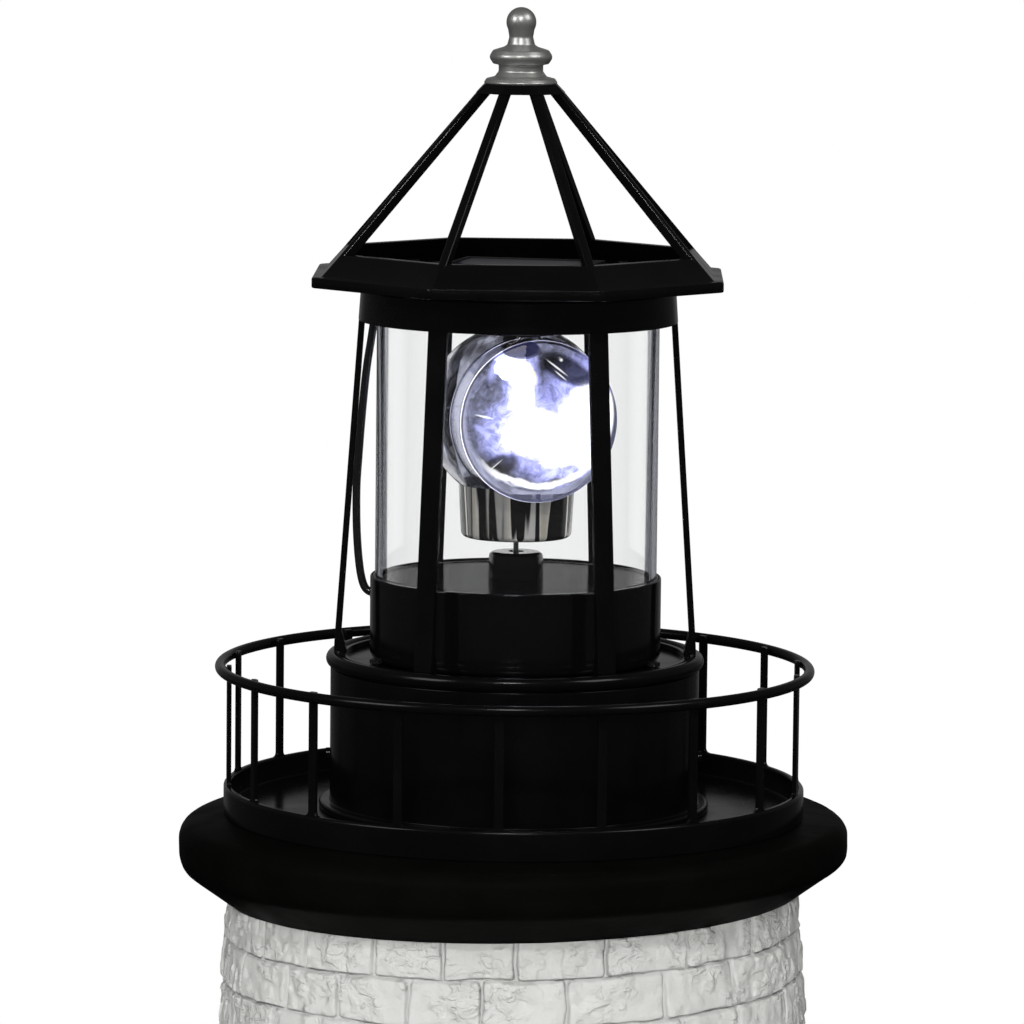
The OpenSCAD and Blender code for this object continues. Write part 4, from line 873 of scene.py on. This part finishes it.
def build_gallery():
    """The tray with its wall, its collar and its balusters, and the rail with its eighteen lugs."""
    tray = rounded([(TRAY_HOLE_R, Z_TRAY, 0.4), (TRAY_R, Z_TRAY, 0.5), (TRAY_R, Z_WALL_TOP, 1.9),
                    (TRAY_IN_R, Z_WALL_TOP, 1.1), (TRAY_IN_R, Z_FLOOR, 1.0), (80, Z_FLOOR, 0.6),
                    (80, Z_FLOOR + 28, 0.5), (77.4, Z_FLOOR + 28, 0.5), (77.4, Z_FLOOR, 0.4),
                    (TRAY_HOLE_R, Z_FLOOR, 0.4)], 7)
    sheets = [(turned(tray, 320), "rc")] + [(baluster(angle), "c") for angle in BALUSTERS]
    shell("gallery_with_balusters", sheets, "lighthouse", PAINT, ("gallery_tray",))
    sheets = [(turned(circle(36, RAIL_TUBE_R) + [RAIL_R, Z_RAIL], 320), "rc")]
    reach = np.array([129.5, 129.7, 131.5])
    sizes = np.array([0.75, 1.0, 1.0])[:, None, None]
    for angle in BALUSTERS:
        out, side = spoke(angle)
        lug = carried(out * reach[:, None] + [0, 0, Z_RAIL], side, UP, sizes * bar_section(4.2, 2.8, 0.7))
        sheets.append((lug, "c"))
    shell("handrail_ring", sheets, "lighthouse", PAINT, ("handrail",), sharp=50)


def build_watch_room():
    """The rolled sheet wall with its foot ring and the bead round its mouth."""
    bead = Z_BEAD_TOP - BEAD_TUBE_R
    a = np.linspace(math.radians(-72), math.radians(252), 40)
    roll = np.stack([BEAD_R + BEAD_TUBE_R * np.cos(a), bead + BEAD_TUBE_R * np.sin(a)], -1)
    lower = rounded([(WALL_IN_R, bead - 3.6, 0.3), (WALL_IN_R, Z_FLOOR, 0.4), (WALL_FOOT_R, Z_FLOOR, 0.5),
                     (WALL_FOOT_R, Z_FLOOR + 3.2, 1.55), (WALL_R, Z_FLOOR + 3.2, 0.5),
                     (WALL_R, bead - 3.4, 0.4)], 8)
    ledge = rounded([(80.5, 706, 0.2), (80.5, 703.5, 0.2), (67.6, 703.5, 0.5), (67.6, 706, 0.5)], 3)
    outline = np.concatenate([lower, roll])
    shell("watch_room", [(turned(outline, 320), "rc"), (turned(ledge, 200), "rc")], "lighthouse",
          PAINT, ("watch_room_wall",), sharp=50)


def build_lamp_base():
    """The can, the glossy plate inside its rim and the bearing hub in the plate's middle."""
    solid_of_revolution("lamp_can", [
        (0.02, Z_DECK, 0), (CAN_R, Z_DECK, 4), (CAN_R, Z_CAN_TOP, 0.7), (CAN_IN_R, Z_CAN_TOP, 0.6),
        (CAN_IN_R, Z_DECK + 1.9, 3), (0.02, Z_DECK + 1.9, 0)],
        "lighthouse", GLOSS, steps=8)
    solid_of_revolution("can_plate", [
        (3.8, Z_PLATE_LOW, 0.2), (CAN_IN_R - 0.15, Z_PLATE_LOW, 0.3), (CAN_IN_R - 0.15, Z_PLATE, 0.3),
        (3.8, Z_PLATE, 0.2)], "lighthouse", PLATE, ("can_top_plate",), steps=3)
    solid_of_revolution("hub", [
        (1.3, Z_PLATE_LOW, 0), (HUB_SEAT_R, Z_PLATE_LOW, 0.2), (HUB_SEAT_R, Z_PLATE, 0),
        (HUB_R + 0.2, Z_PLATE, 0.3), (HUB_R, Z_HUB_TOP, 2.4), (HUB_SEAT_R, Z_HUB_TOP, 0.4),
        (2.7, Z_HUB_TOP - 1, 0.3), (1.3, Z_HUB_TOP - 1, 0)],
        "lighthouse", GLOSS, ("bearing_hub",), n=128)


# ---------------------------------------------------------------- beacon
def lens_frame():
    """Right and facing directions of the bullseye lens."""
    return spoke(LENS_TURN)[0], -spoke(LENS_TURN)[1]


def about_lens(outline, n=192):
    """The outline (radius, distance) carried round the level axis of the lens."""
    right, facing = lens_frame()
    ring = circle(n, 1)
    r, d = outline[:, :1, None], outline[:, 1:, None]
    return r * (ring[:, :1] * right + ring[:, 1:] * UP) + d * facing + Z_GLOBE * UP


def build_globe():
    """Sphere open for the lens and, at the top, for the lamp. Rows run from the lens rim to the back,
    columns go round the lens axis, and a point inside the top mouth moves out to the mouth's rim."""
    right, facing = lens_frame()
    mouth = math.asin(MOUTH_R / GLOBE_R)
    rim = math.asin((LENS_R + 0.1) / GLOBE_R)
    theta = np.linspace(rim, math.pi - 0.0005, 84)[:, None]
    phi = (np.arange(180) + 0.5) * TAU / 180
    ray = (np.cos(theta)[..., None] * facing
           + np.sin(theta)[..., None] * (np.cos(phi)[:, None] * right + np.sin(phi)[:, None] * UP))
    tilt = np.arccos(np.clip(ray[..., 2], -1, 1))
    inside = tilt < mouth
    level = ray[..., :2] / np.maximum(np.linalg.norm(ray[..., :2], axis=-1, keepdims=True), 1e-9)
    pushed = np.concatenate([level * math.sin(mouth), np.full((*inside.shape, 1), math.cos(mouth))], -1)
    ray = np.where(inside[..., None], pushed, ray)
    globe = shell("globe", [(ray * GLOBE_R + [0, 0, Z_GLOBE], "c")], "beacon", GLOBE,
                  ("globe_lower", "globe_upper"), sharp=60)
    wall = globe.modifiers.new("wall", "SOLIDIFY")
    wall.thickness = 1.8 * MM
    wall.offset = -1
    a = LENS_TURN + math.pi / 2 + np.linspace(-1, 1, 160) * (math.pi - rim - 0.03)
    out = np.stack([np.cos(a), np.sin(a), 0 * a], -1)
    seam = carried(out * (GLOBE_R + 0.1) + Z_GLOBE * UP, out, UP, circle(8, 0.35, 0.30))
    shell("globe_seam", [(seam, "c")], "beacon", SEAM)


LENS_BULGE, LENS_FRONT, LENS_BACK, BARREL_BACK = 8.0, 41.0, 32.0, 17.8


def build_lens():
    """Barrel and bulging disc. The disc's front is a cap of a ball, with shallow round steps."""
    radius = np.linspace(0.05, LENS_R - 0.3, 94)
    ball = (LENS_R ** 2 + LENS_BULGE ** 2) / (2 * LENS_BULGE)
    steps = 0.10 * np.clip(np.sin(radius / 34.0 * 5 * TAU), -0.4, 0.4) * (radius > 9)
    front = np.stack([radius, LENS_FRONT - ball + np.sqrt(ball ** 2 - radius ** 2) + steps], -1)
    back = np.array([(LENS_R, LENS_BACK + 0.6), (LENS_R, LENS_BACK + 0.2), (LENS_R - 0.2, LENS_BACK),
                     (LENS_R - 1.5, LENS_BACK), (0.05, LENS_BACK)])
    shell("bullseye", [(about_lens(np.concatenate([front, back])), "rc")], "beacon",
          BULLSEYE, ("bullseye_lens",), sharp=50)
    barrel = rounded([(LENS_R, LENS_BACK - 0.1, 0.3), (LENS_R, BARREL_BACK, 0.4),
                      (BARREL_IN_R, BARREL_BACK, 0.4), (BARREL_IN_R, LENS_BACK - 0.1, 0.3)], 5)
    shell("lens_barrel", [(about_lens(barrel), "rc")], "beacon", BARREL, sharp=50)


def build_cup():
    """The chromed cup, a little wider at its mouth."""
    solid_of_revolution("cup", [
        (0.02, Z_CUP, 0), (24.6, Z_CUP, 2.4), (25.9, Z_CUP_TOP, 0.35), (24.7, Z_CUP_TOP, 0.35),
        (23.4, Z_CUP + 1.3, 1.8), (0.02, Z_CUP + 1.3, 0)],
        "beacon", CHROME, ("beacon_cup",), n=200)


# ---------------------------------------------------------------- lantern
def build_chimney():
    """The glass tube between the plate and the band. It casts no shadow, so that the lamps light what
    stands inside it."""
    chimney = solid_of_revolution(
        "chimney", [(GLASS_IN_R, Z_PLATE, 0.5), (GLASS_R, Z_PLATE, 0.5), (GLASS_R, Z_GLASS_TOP, 0.5),
                    (GLASS_IN_R, Z_GLASS_TOP, 0.5)],
        "lighthouse", CHIMNEY, ("glass_chimney",), n=256, steps=3)
    chimney.visible_shadow = False


CAGE_SLOPE = (CAGE_FOOT_R - BAND_R) / (Z_BAND - Z_BEAD_TOP)
POST_W, BAND_T = 9.2, 2.8


def cage_post(angle):
    """A strip bent to the cage's cone: from the deck up inside the bead, out over the bead, then up
    the cone to the band. Across the strip, the angle grows by s / R."""
    z = np.array([Z_DECK + 0.2, Z_DECK + 2.6, Z_BEAD_TOP + 0.3, Z_BEAD_TOP + 4, Z_BEAD_TOP + 9, 760,
                  810, Z_BAND + 1, Z_BAND + 6])
    outer = BAND_R + CAGE_SLOPE * (Z_BAND - z)
    outer[:5] = DECK_RING_R, DECK_RING_R, 81.2, 81.1, 80.8
    thick = np.array([2.2, 2.3, 5.5, 4.6, 2.9, 2.8, 2.8, 2.8, 2.6])
    out_r, in_r = outer - 0.1, outer - thick
    flat = bar_section(POST_W, 1.0, 0.30, 3)
    s, t = flat[:, 0], flat[:, 1] + 0.5
    r = in_r[:, None] + (out_r - in_r)[:, None] * t
    a = angle + s / r
    return capped(np.stack([r * np.cos(a), r * np.sin(a), z[:, None] + 0 * a], -1))


def build_cage():
    """The band with its four fixing bosses, the ring on the deck and the posts between them."""
    top_r = BAND_R - CAGE_SLOPE * (Z_BAND_TOP - Z_BAND)
    band = rounded([(BAND_R, Z_BAND, 0.5), (top_r, Z_BAND_TOP, 1.3), (top_r - BAND_T, Z_BAND_TOP, 0.5),
                    (BAND_R - BAND_T, Z_BAND, 0.5)], 6)
    ring = rounded([(75.7, Z_DECK, 0.2), (DECK_RING_R, Z_DECK, 0.3), (DECK_RING_R, Z_DECK + 2.4, 0.4),
                    (75.7, Z_DECK + 2.4, 0.4)], 3)
    sheets = [(turned(band, 320), "rc"), (turned(ring, 200), "rc")]
    sheets += [(cage_post(angle), "c") for angle in POSTS]
    for k in range(4):
        centre = 66.9 * spoke(math.radians(45 + 90 * k))[0]
        boss = carried(centre + upright(np.array([864.6, 875.0])), [1, 0, 0], [0, 1, 0], circle(24, 2.4))
        sheets.append((boss, "c"))
    shell("cage", sheets, "lighthouse", PAINT, ("lantern_cage",), sharp=50)


LEAD_ROUTE = ((60.2, 869.5), (62.6, 869.4), (64.9, 867.6), (65.8, 864), (66, 859), (67.3, 850),
              (69.4, 836), (71.3, 816), (72.7, 797), (73.5, 783.8), (73.4, 767.8), (72.8, 756.8),
              (72, 748.8), (71, 742.8), (69.6, 738.6), (67.6, 736.5), (65.6, 736), (63.2, 736),
              (60.6, 736))


def smooth_route(points, n):
    """A smooth curve through the points, as cubic pieces whose slope at a point is half the step
    between its neighbours."""
    p = np.array(points, float)
    slope = np.gradient(p, axis=0)
    at = np.linspace(0, len(p) - 1, n)
    i = np.minimum(at.astype(int), len(p) - 2)
    t = (at - i)[:, None]
    return ((2 * t ** 3 - 3 * t ** 2 + 1) * p[i] + (t ** 3 - 2 * t ** 2 + t) * slope[i]
            + (3 * t ** 2 - 2 * t ** 3) * p[i + 1] + (t ** 3 - t ** 2) * slope[i + 1])


def build_lead():
    """A round sleeve carried along the lead's route in an upright plane."""
    route = smooth_route(LEAD_ROUTE, 120)
    out, side = spoke(LEAD_TURN)
    path = route[:, :1] * out + route[:, 1:] * UP
    along = np.gradient(path, axis=0)
    along /= np.linalg.norm(along, axis=1, keepdims=True)
    sleeve = carried(path, side, np.cross(along, side), circle(24, LEAD_R))
    shell("lead_sleeve", [(sleeve, "c")], "lighthouse", LEAD, ("lamp_lead",))


# ---------------------------------------------------------------- roof and finial
def octagon(radius, corner, roundness=0.0):
    """Points round an octagon whose corner radius is given before rounding, its corners arcs of
    radius corner, or round a circle where roundness is 1."""
    points = []
    for k in range(8):
        a = math.radians(22.5 + 45 * k) + ROOF_TURN
        t = a + np.linspace(-math.pi / 8, math.pi / 8, 9)
        core = radius - corner / math.cos(math.pi / 8)
        arc = core * spoke(a)[0][:2] + corner * np.stack([np.cos(t), np.sin(t)], -1)
        back, on = arc[0] - 1.5 * spoke(t[0])[1][:2], arc[-1] + 1.5 * spoke(t[-1])[1][:2]
        points += [back[None], arc, on[None]]
    flat = np.concatenate(points)
    if roundness:
        spread = np.linspace(0, TAU, len(flat), endpoint=False) + math.atan2(flat[0, 1], flat[0, 0])
        circle_points = radius * np.stack([np.cos(spread), np.sin(spread)], -1)
        flat = flat * (1 - roundness) + circle_points * roundness
    return flat


def octagonal(rows):
    """Rows of (radius, z, corner radius, roundness), each an octagon, joined into one closed sheet."""
    rings = [octagon(radius, corner, roundness) for radius, z, corner, roundness in rows]
    return np.stack([np.insert(ring, 2, row[1], axis=1) for ring, row in zip(rings, rows)])


ROOF_SLOPE = (EAVE_R - RIB_TOP_R) / (Z_CROWN - Z_ROOF)
RIB_DEPTH, RIB_HALF_W, BRIM_HOLE_R, BRIM_BAND_H = 5.6, 2.0, 62.1, 9.5


def roof_rib(k):
    """A mitred rib on one hip: six lines, left, ridge and right, outside and a rib's depth further in,
    drawn straight from the brim to the crown."""
    a = math.radians(22.5 + 45 * k) + ROOF_TURN
    z = np.array([Z_ROOF - 0.5, Z_ROOF + 9, Z_ROOF + 30, Z_ROOF + 60, Z_CROWN - 2])
    r = EAVE_R - ROOF_SLOPE * (z - Z_ROOF)
    flank = math.radians(112.5)
    lines = []
    for inset, side in ((0, 1), (0, 0), (0, -1), (RIB_DEPTH, -1), (RIB_DEPTH, 0), (RIB_DEPTH, 1)):
        shift = abs(side) * RIB_HALF_W / math.sin(flank) * spoke(a + side * flank)[0]
        lines.append((r - inset)[:, None] * spoke(a)[0] + shift + upright(z))
    return capped(np.stack(lines, 1))


def build_roof():
    """The brim with its sloped band, each an octagon with a round hole, the crown, and the ribs."""
    eave = Z_ROOF + BRIM_BAND_H
    drop = EAVE_R - ROOF_SLOPE * BRIM_BAND_H
    rows = [(BRIM_HOLE_R, Z_BRIM, 4, 1), (70, Z_BRIM, 4, 1), (BRIM_R - 0.7, Z_BRIM, 4, 0),
            (BRIM_R - 0.2, Z_BRIM + 0.2, 4, 0), (BRIM_R, Z_BRIM + 0.7, 4, 0), (BRIM_R, Z_ROOF - 0.9, 4, 0),
            (BRIM_R - 0.2, Z_ROOF - 0.3, 4, 0), (BRIM_R - 0.8, Z_ROOF, 4, 0), (94.0, Z_ROOF, 3, 0),
            (EAVE_R + 0.1, Z_ROOF + 0.3, 1.2, 0), (drop + 0.4, eave - 0.5, 1.2, 0),
            (drop - 0.2, eave - 0.1, 1.2, 0), (drop - 0.8, eave, 1.2, 0), (drop - 5.0, eave, 1.2, 0),
            (drop - 5.5, eave - 0.3, 1.2, 0), (EAVE_R - 5.5, Z_ROOF + 0.3, 1.2, 0),
            (EAVE_R - 6.5, Z_ROOF, 1.2, 0), (70, Z_ROOF, 4, 1), (BRIM_HOLE_R, Z_ROOF, 4, 1)]
    low = Z_CROWN - 3.9
    crown = [(0.5, low, 0.1, 1), (21.4, low, 0.6, 0), (17.5, Z_CROWN, 0.6, 0), (0.5, Z_CROWN, 0.1, 1)]
    shell("roof_brim", [(octagonal(rows), "rc"), (octagonal(crown), "c")], "lighthouse",
          PAINT, ("roof_frame",), sharp=28)
    ribs = shell("roof_ribs", [(roof_rib(k), "c") for k in range(8)], "lighthouse", PAINT,
                 sharp=28)
    soften = ribs.modifiers.new("soft_edges", "BEVEL")
    soften.width = 0.45 * MM
    soften.segments = 2
    soften.limit_method = "ANGLE"
    soften.angle_limit = math.radians(20)


BALL_UP = 27.39


def build_finial():
    """Ball, neck, collar, neck and flange as one turned profile."""
    z = Z_CROWN
    a = np.radians(np.linspace(-28, 89.5, 26))
    ball = np.stack([BALL_R * np.cos(a), z + BALL_UP + BALL_R * np.sin(a)], -1)
    foot = rounded([(16.0, z, 0.2), (16.3, z + 0.9, 0.8), (15.2, z + 2.5, 1.0), (11.6, z + 3.4, 0.9),
                    (9.9, z + 5.6, 1.4), (9.9, z + 8.5, 0.5), (12.4, z + 9.0, 1.0),
                    (14.3, z + 12.0, 2.4), (12.4, z + 15.0, 1.6), (7.6, z + 16.5, 0.9),
                    (6.2, z + 17.4, 1.2), (5.3, z + 20.8, 2.5), (5.87, z + 24.27, 0)], 6)
    foot = foot[foot[:, 1] >= z - 0.01]
    ends = np.array([[0.02, z], [15.4, z], [0.02, z + BALL_UP + BALL_R]])
    outline = np.concatenate([ends[:2], foot[:-1], ball, ends[2:]])
    shell("finial_turning", [(turned(outline, 160), "rc")], "lighthouse", GREY, ("finial",),
          sharp=60)


for build in (build_tower, build_cornice, build_gallery, build_watch_room, build_lamp_base, build_globe,
              build_lens, build_cup, build_chimney, build_cage, build_lead, build_roof, build_finial):
    build()

# The CAD nodes that are shown as they are, by finish
for finish, nodes in (
        (STEEL, "base_screws gallery_screws can_screws gear_motor motor_screws switch_screws drive_shaft "
                "board_screws finial_stud"),
        (DULL, "base_plate battery_holder switch_body pod_floor solar_pod lamp_holder lock_ring"),
        (PAINT, "collar_screws lamp_deck"), (SCREW, "cage_screws roof_screws"), (GLOSS, "lamp_base_can"),
        (CELLS, "battery_cells"), (KNOB, "switch_slider"), (LEAD, "lead_grommet"),
        (BOARD, "control_board"), (PANEL, "solar_panel"), (LAMP, "led_lamp")):
    for node in nodes.split():
        mesh = NODES[node].data
        mesh.materials.clear()
        mesh.materials.append(finish.material)


# ---------------------------------------------------------------- floor, world and lamps
def lay_floor():
    """A pale round floor that is plain near the object and turns white to the camera further out."""
    floor = Finish("floor", (0.82, 0.82, 0.82), Roughness=0.7)
    x, y, z = floor.axes(floor.place())
    away = (x * x + y * y) ** 0.5
    camera, glass = floor.node("LightPath", out=("Is Camera Ray", "Is Transmission Ray"))
    plain = Wire(floor.tree, floor.shader.outputs[0])
    blend = floor.node("MixShader", None, {0: camera.most(glass) * away.step(0.45, 1.1), 1: plain,
                                           2: floor.node("Emission")})
    floor.tree.links.new(blend.socket, floor.tree.nodes["Material Output"].inputs["Surface"])
    ring = circle(96, 1)
    disc = np.stack([r * np.pad(ring, ((0, 0), (0, 1))) for r in (0.0001, *np.linspace(0.2, 1.6, 8))])
    mesh = bpy.data.meshes.new("floor")
    mesh.from_pydata(disc.reshape(-1, 3), [], quads(*disc.shape[:2], "c"))
    mesh.materials.append(floor.material)
    ground = bpy.data.objects.new("floor", mesh)
    ground.visible_glossy = False
    bpy.context.scene.collection.objects.link(ground)


def light_world():
    """White to the camera, and white all round to a view straight through glass. What glass or metal
    mirrors is white behind the object only. As light it is a dim studio with a narrow pale
    backdrop."""
    world = bpy.data.worlds.new("studio")
    bpy.context.scene.world = world
    world.use_nodes = True
    sky = Nodes(world.node_tree)
    camera, glass, glossy, diffuse = sky.node("LightPath", out=(
        "Is Camera Ray", "Is Transmission Ray", "Glossy Depth", "Diffuse Depth"))
    side, behind, height = sky.axes(sky.node("TexCoord", out="Generated"))
    studio = (behind.step(0.86, 0.985) * 0.15 + 0.07) * (height.step(-0.25, 0.0) * 0.75 + 0.25)
    mirrored = behind.step(0.20, 0.60)
    clear = (1 - height.size().step(0.45, 0.75)).most(mirrored)
    through = (clear + (mirrored - clear) * (glossy + diffuse).least(1.0)) * 0.94 + 0.06
    level = camera + (1 - camera) * (glass * through + (1 - glass) * studio)
    background = sky.tree.nodes["Background"]
    sky.tree.links.new(level.socket, background.inputs["Strength"])
    background.inputs["Color"].default_value = (1, 1, 1, 1)


def hang_lamp(name, place, aim, size, power, gleams=True):
    """A softbox. No glass shows it, and one that doesn't gleam leaves no reflection either."""
    lamp = bpy.data.lights.new(name, "AREA")
    lamp.shape = "RECTANGLE"
    lamp.size, lamp.size_y = size
    lamp.energy = power
    holder = bpy.data.objects.new(name, lamp)
    holder.visible_transmission = False
    holder.visible_glossy = gleams
    way = np.array(aim, float) - np.array(place, float)
    way /= np.linalg.norm(way)
    side = np.cross(way, UP)
    side /= np.linalg.norm(side)
    stand(holder, place, side, np.cross(side, way), way)


lay_floor()
light_world()
hang_lamp("front", (-0.05, -2.75, 1.10), (0, 0, 0.70), (0.7, 0.5), 32, False)
hang_lamp("left", (-1.7, -1.1, 1.9), (0, 0, 0.75), (0.9, 0.9), 14)
hang_lamp("right", (1.6, -0.9, 2.3), (0, 0, 0.75), (0.9, 0.9), 14)
hang_lamp("back", (0.5, 2.4, 1.7), (0, 0, 0.6), (0.9, 0.9), 22, False)
hang_lamp("overhead", (-0.1, -2.1, 2.3), (0, 0, 0.75), (0.45, 0.10), 17)

bpy.context.scene.view_settings.view_transform = "Standard"
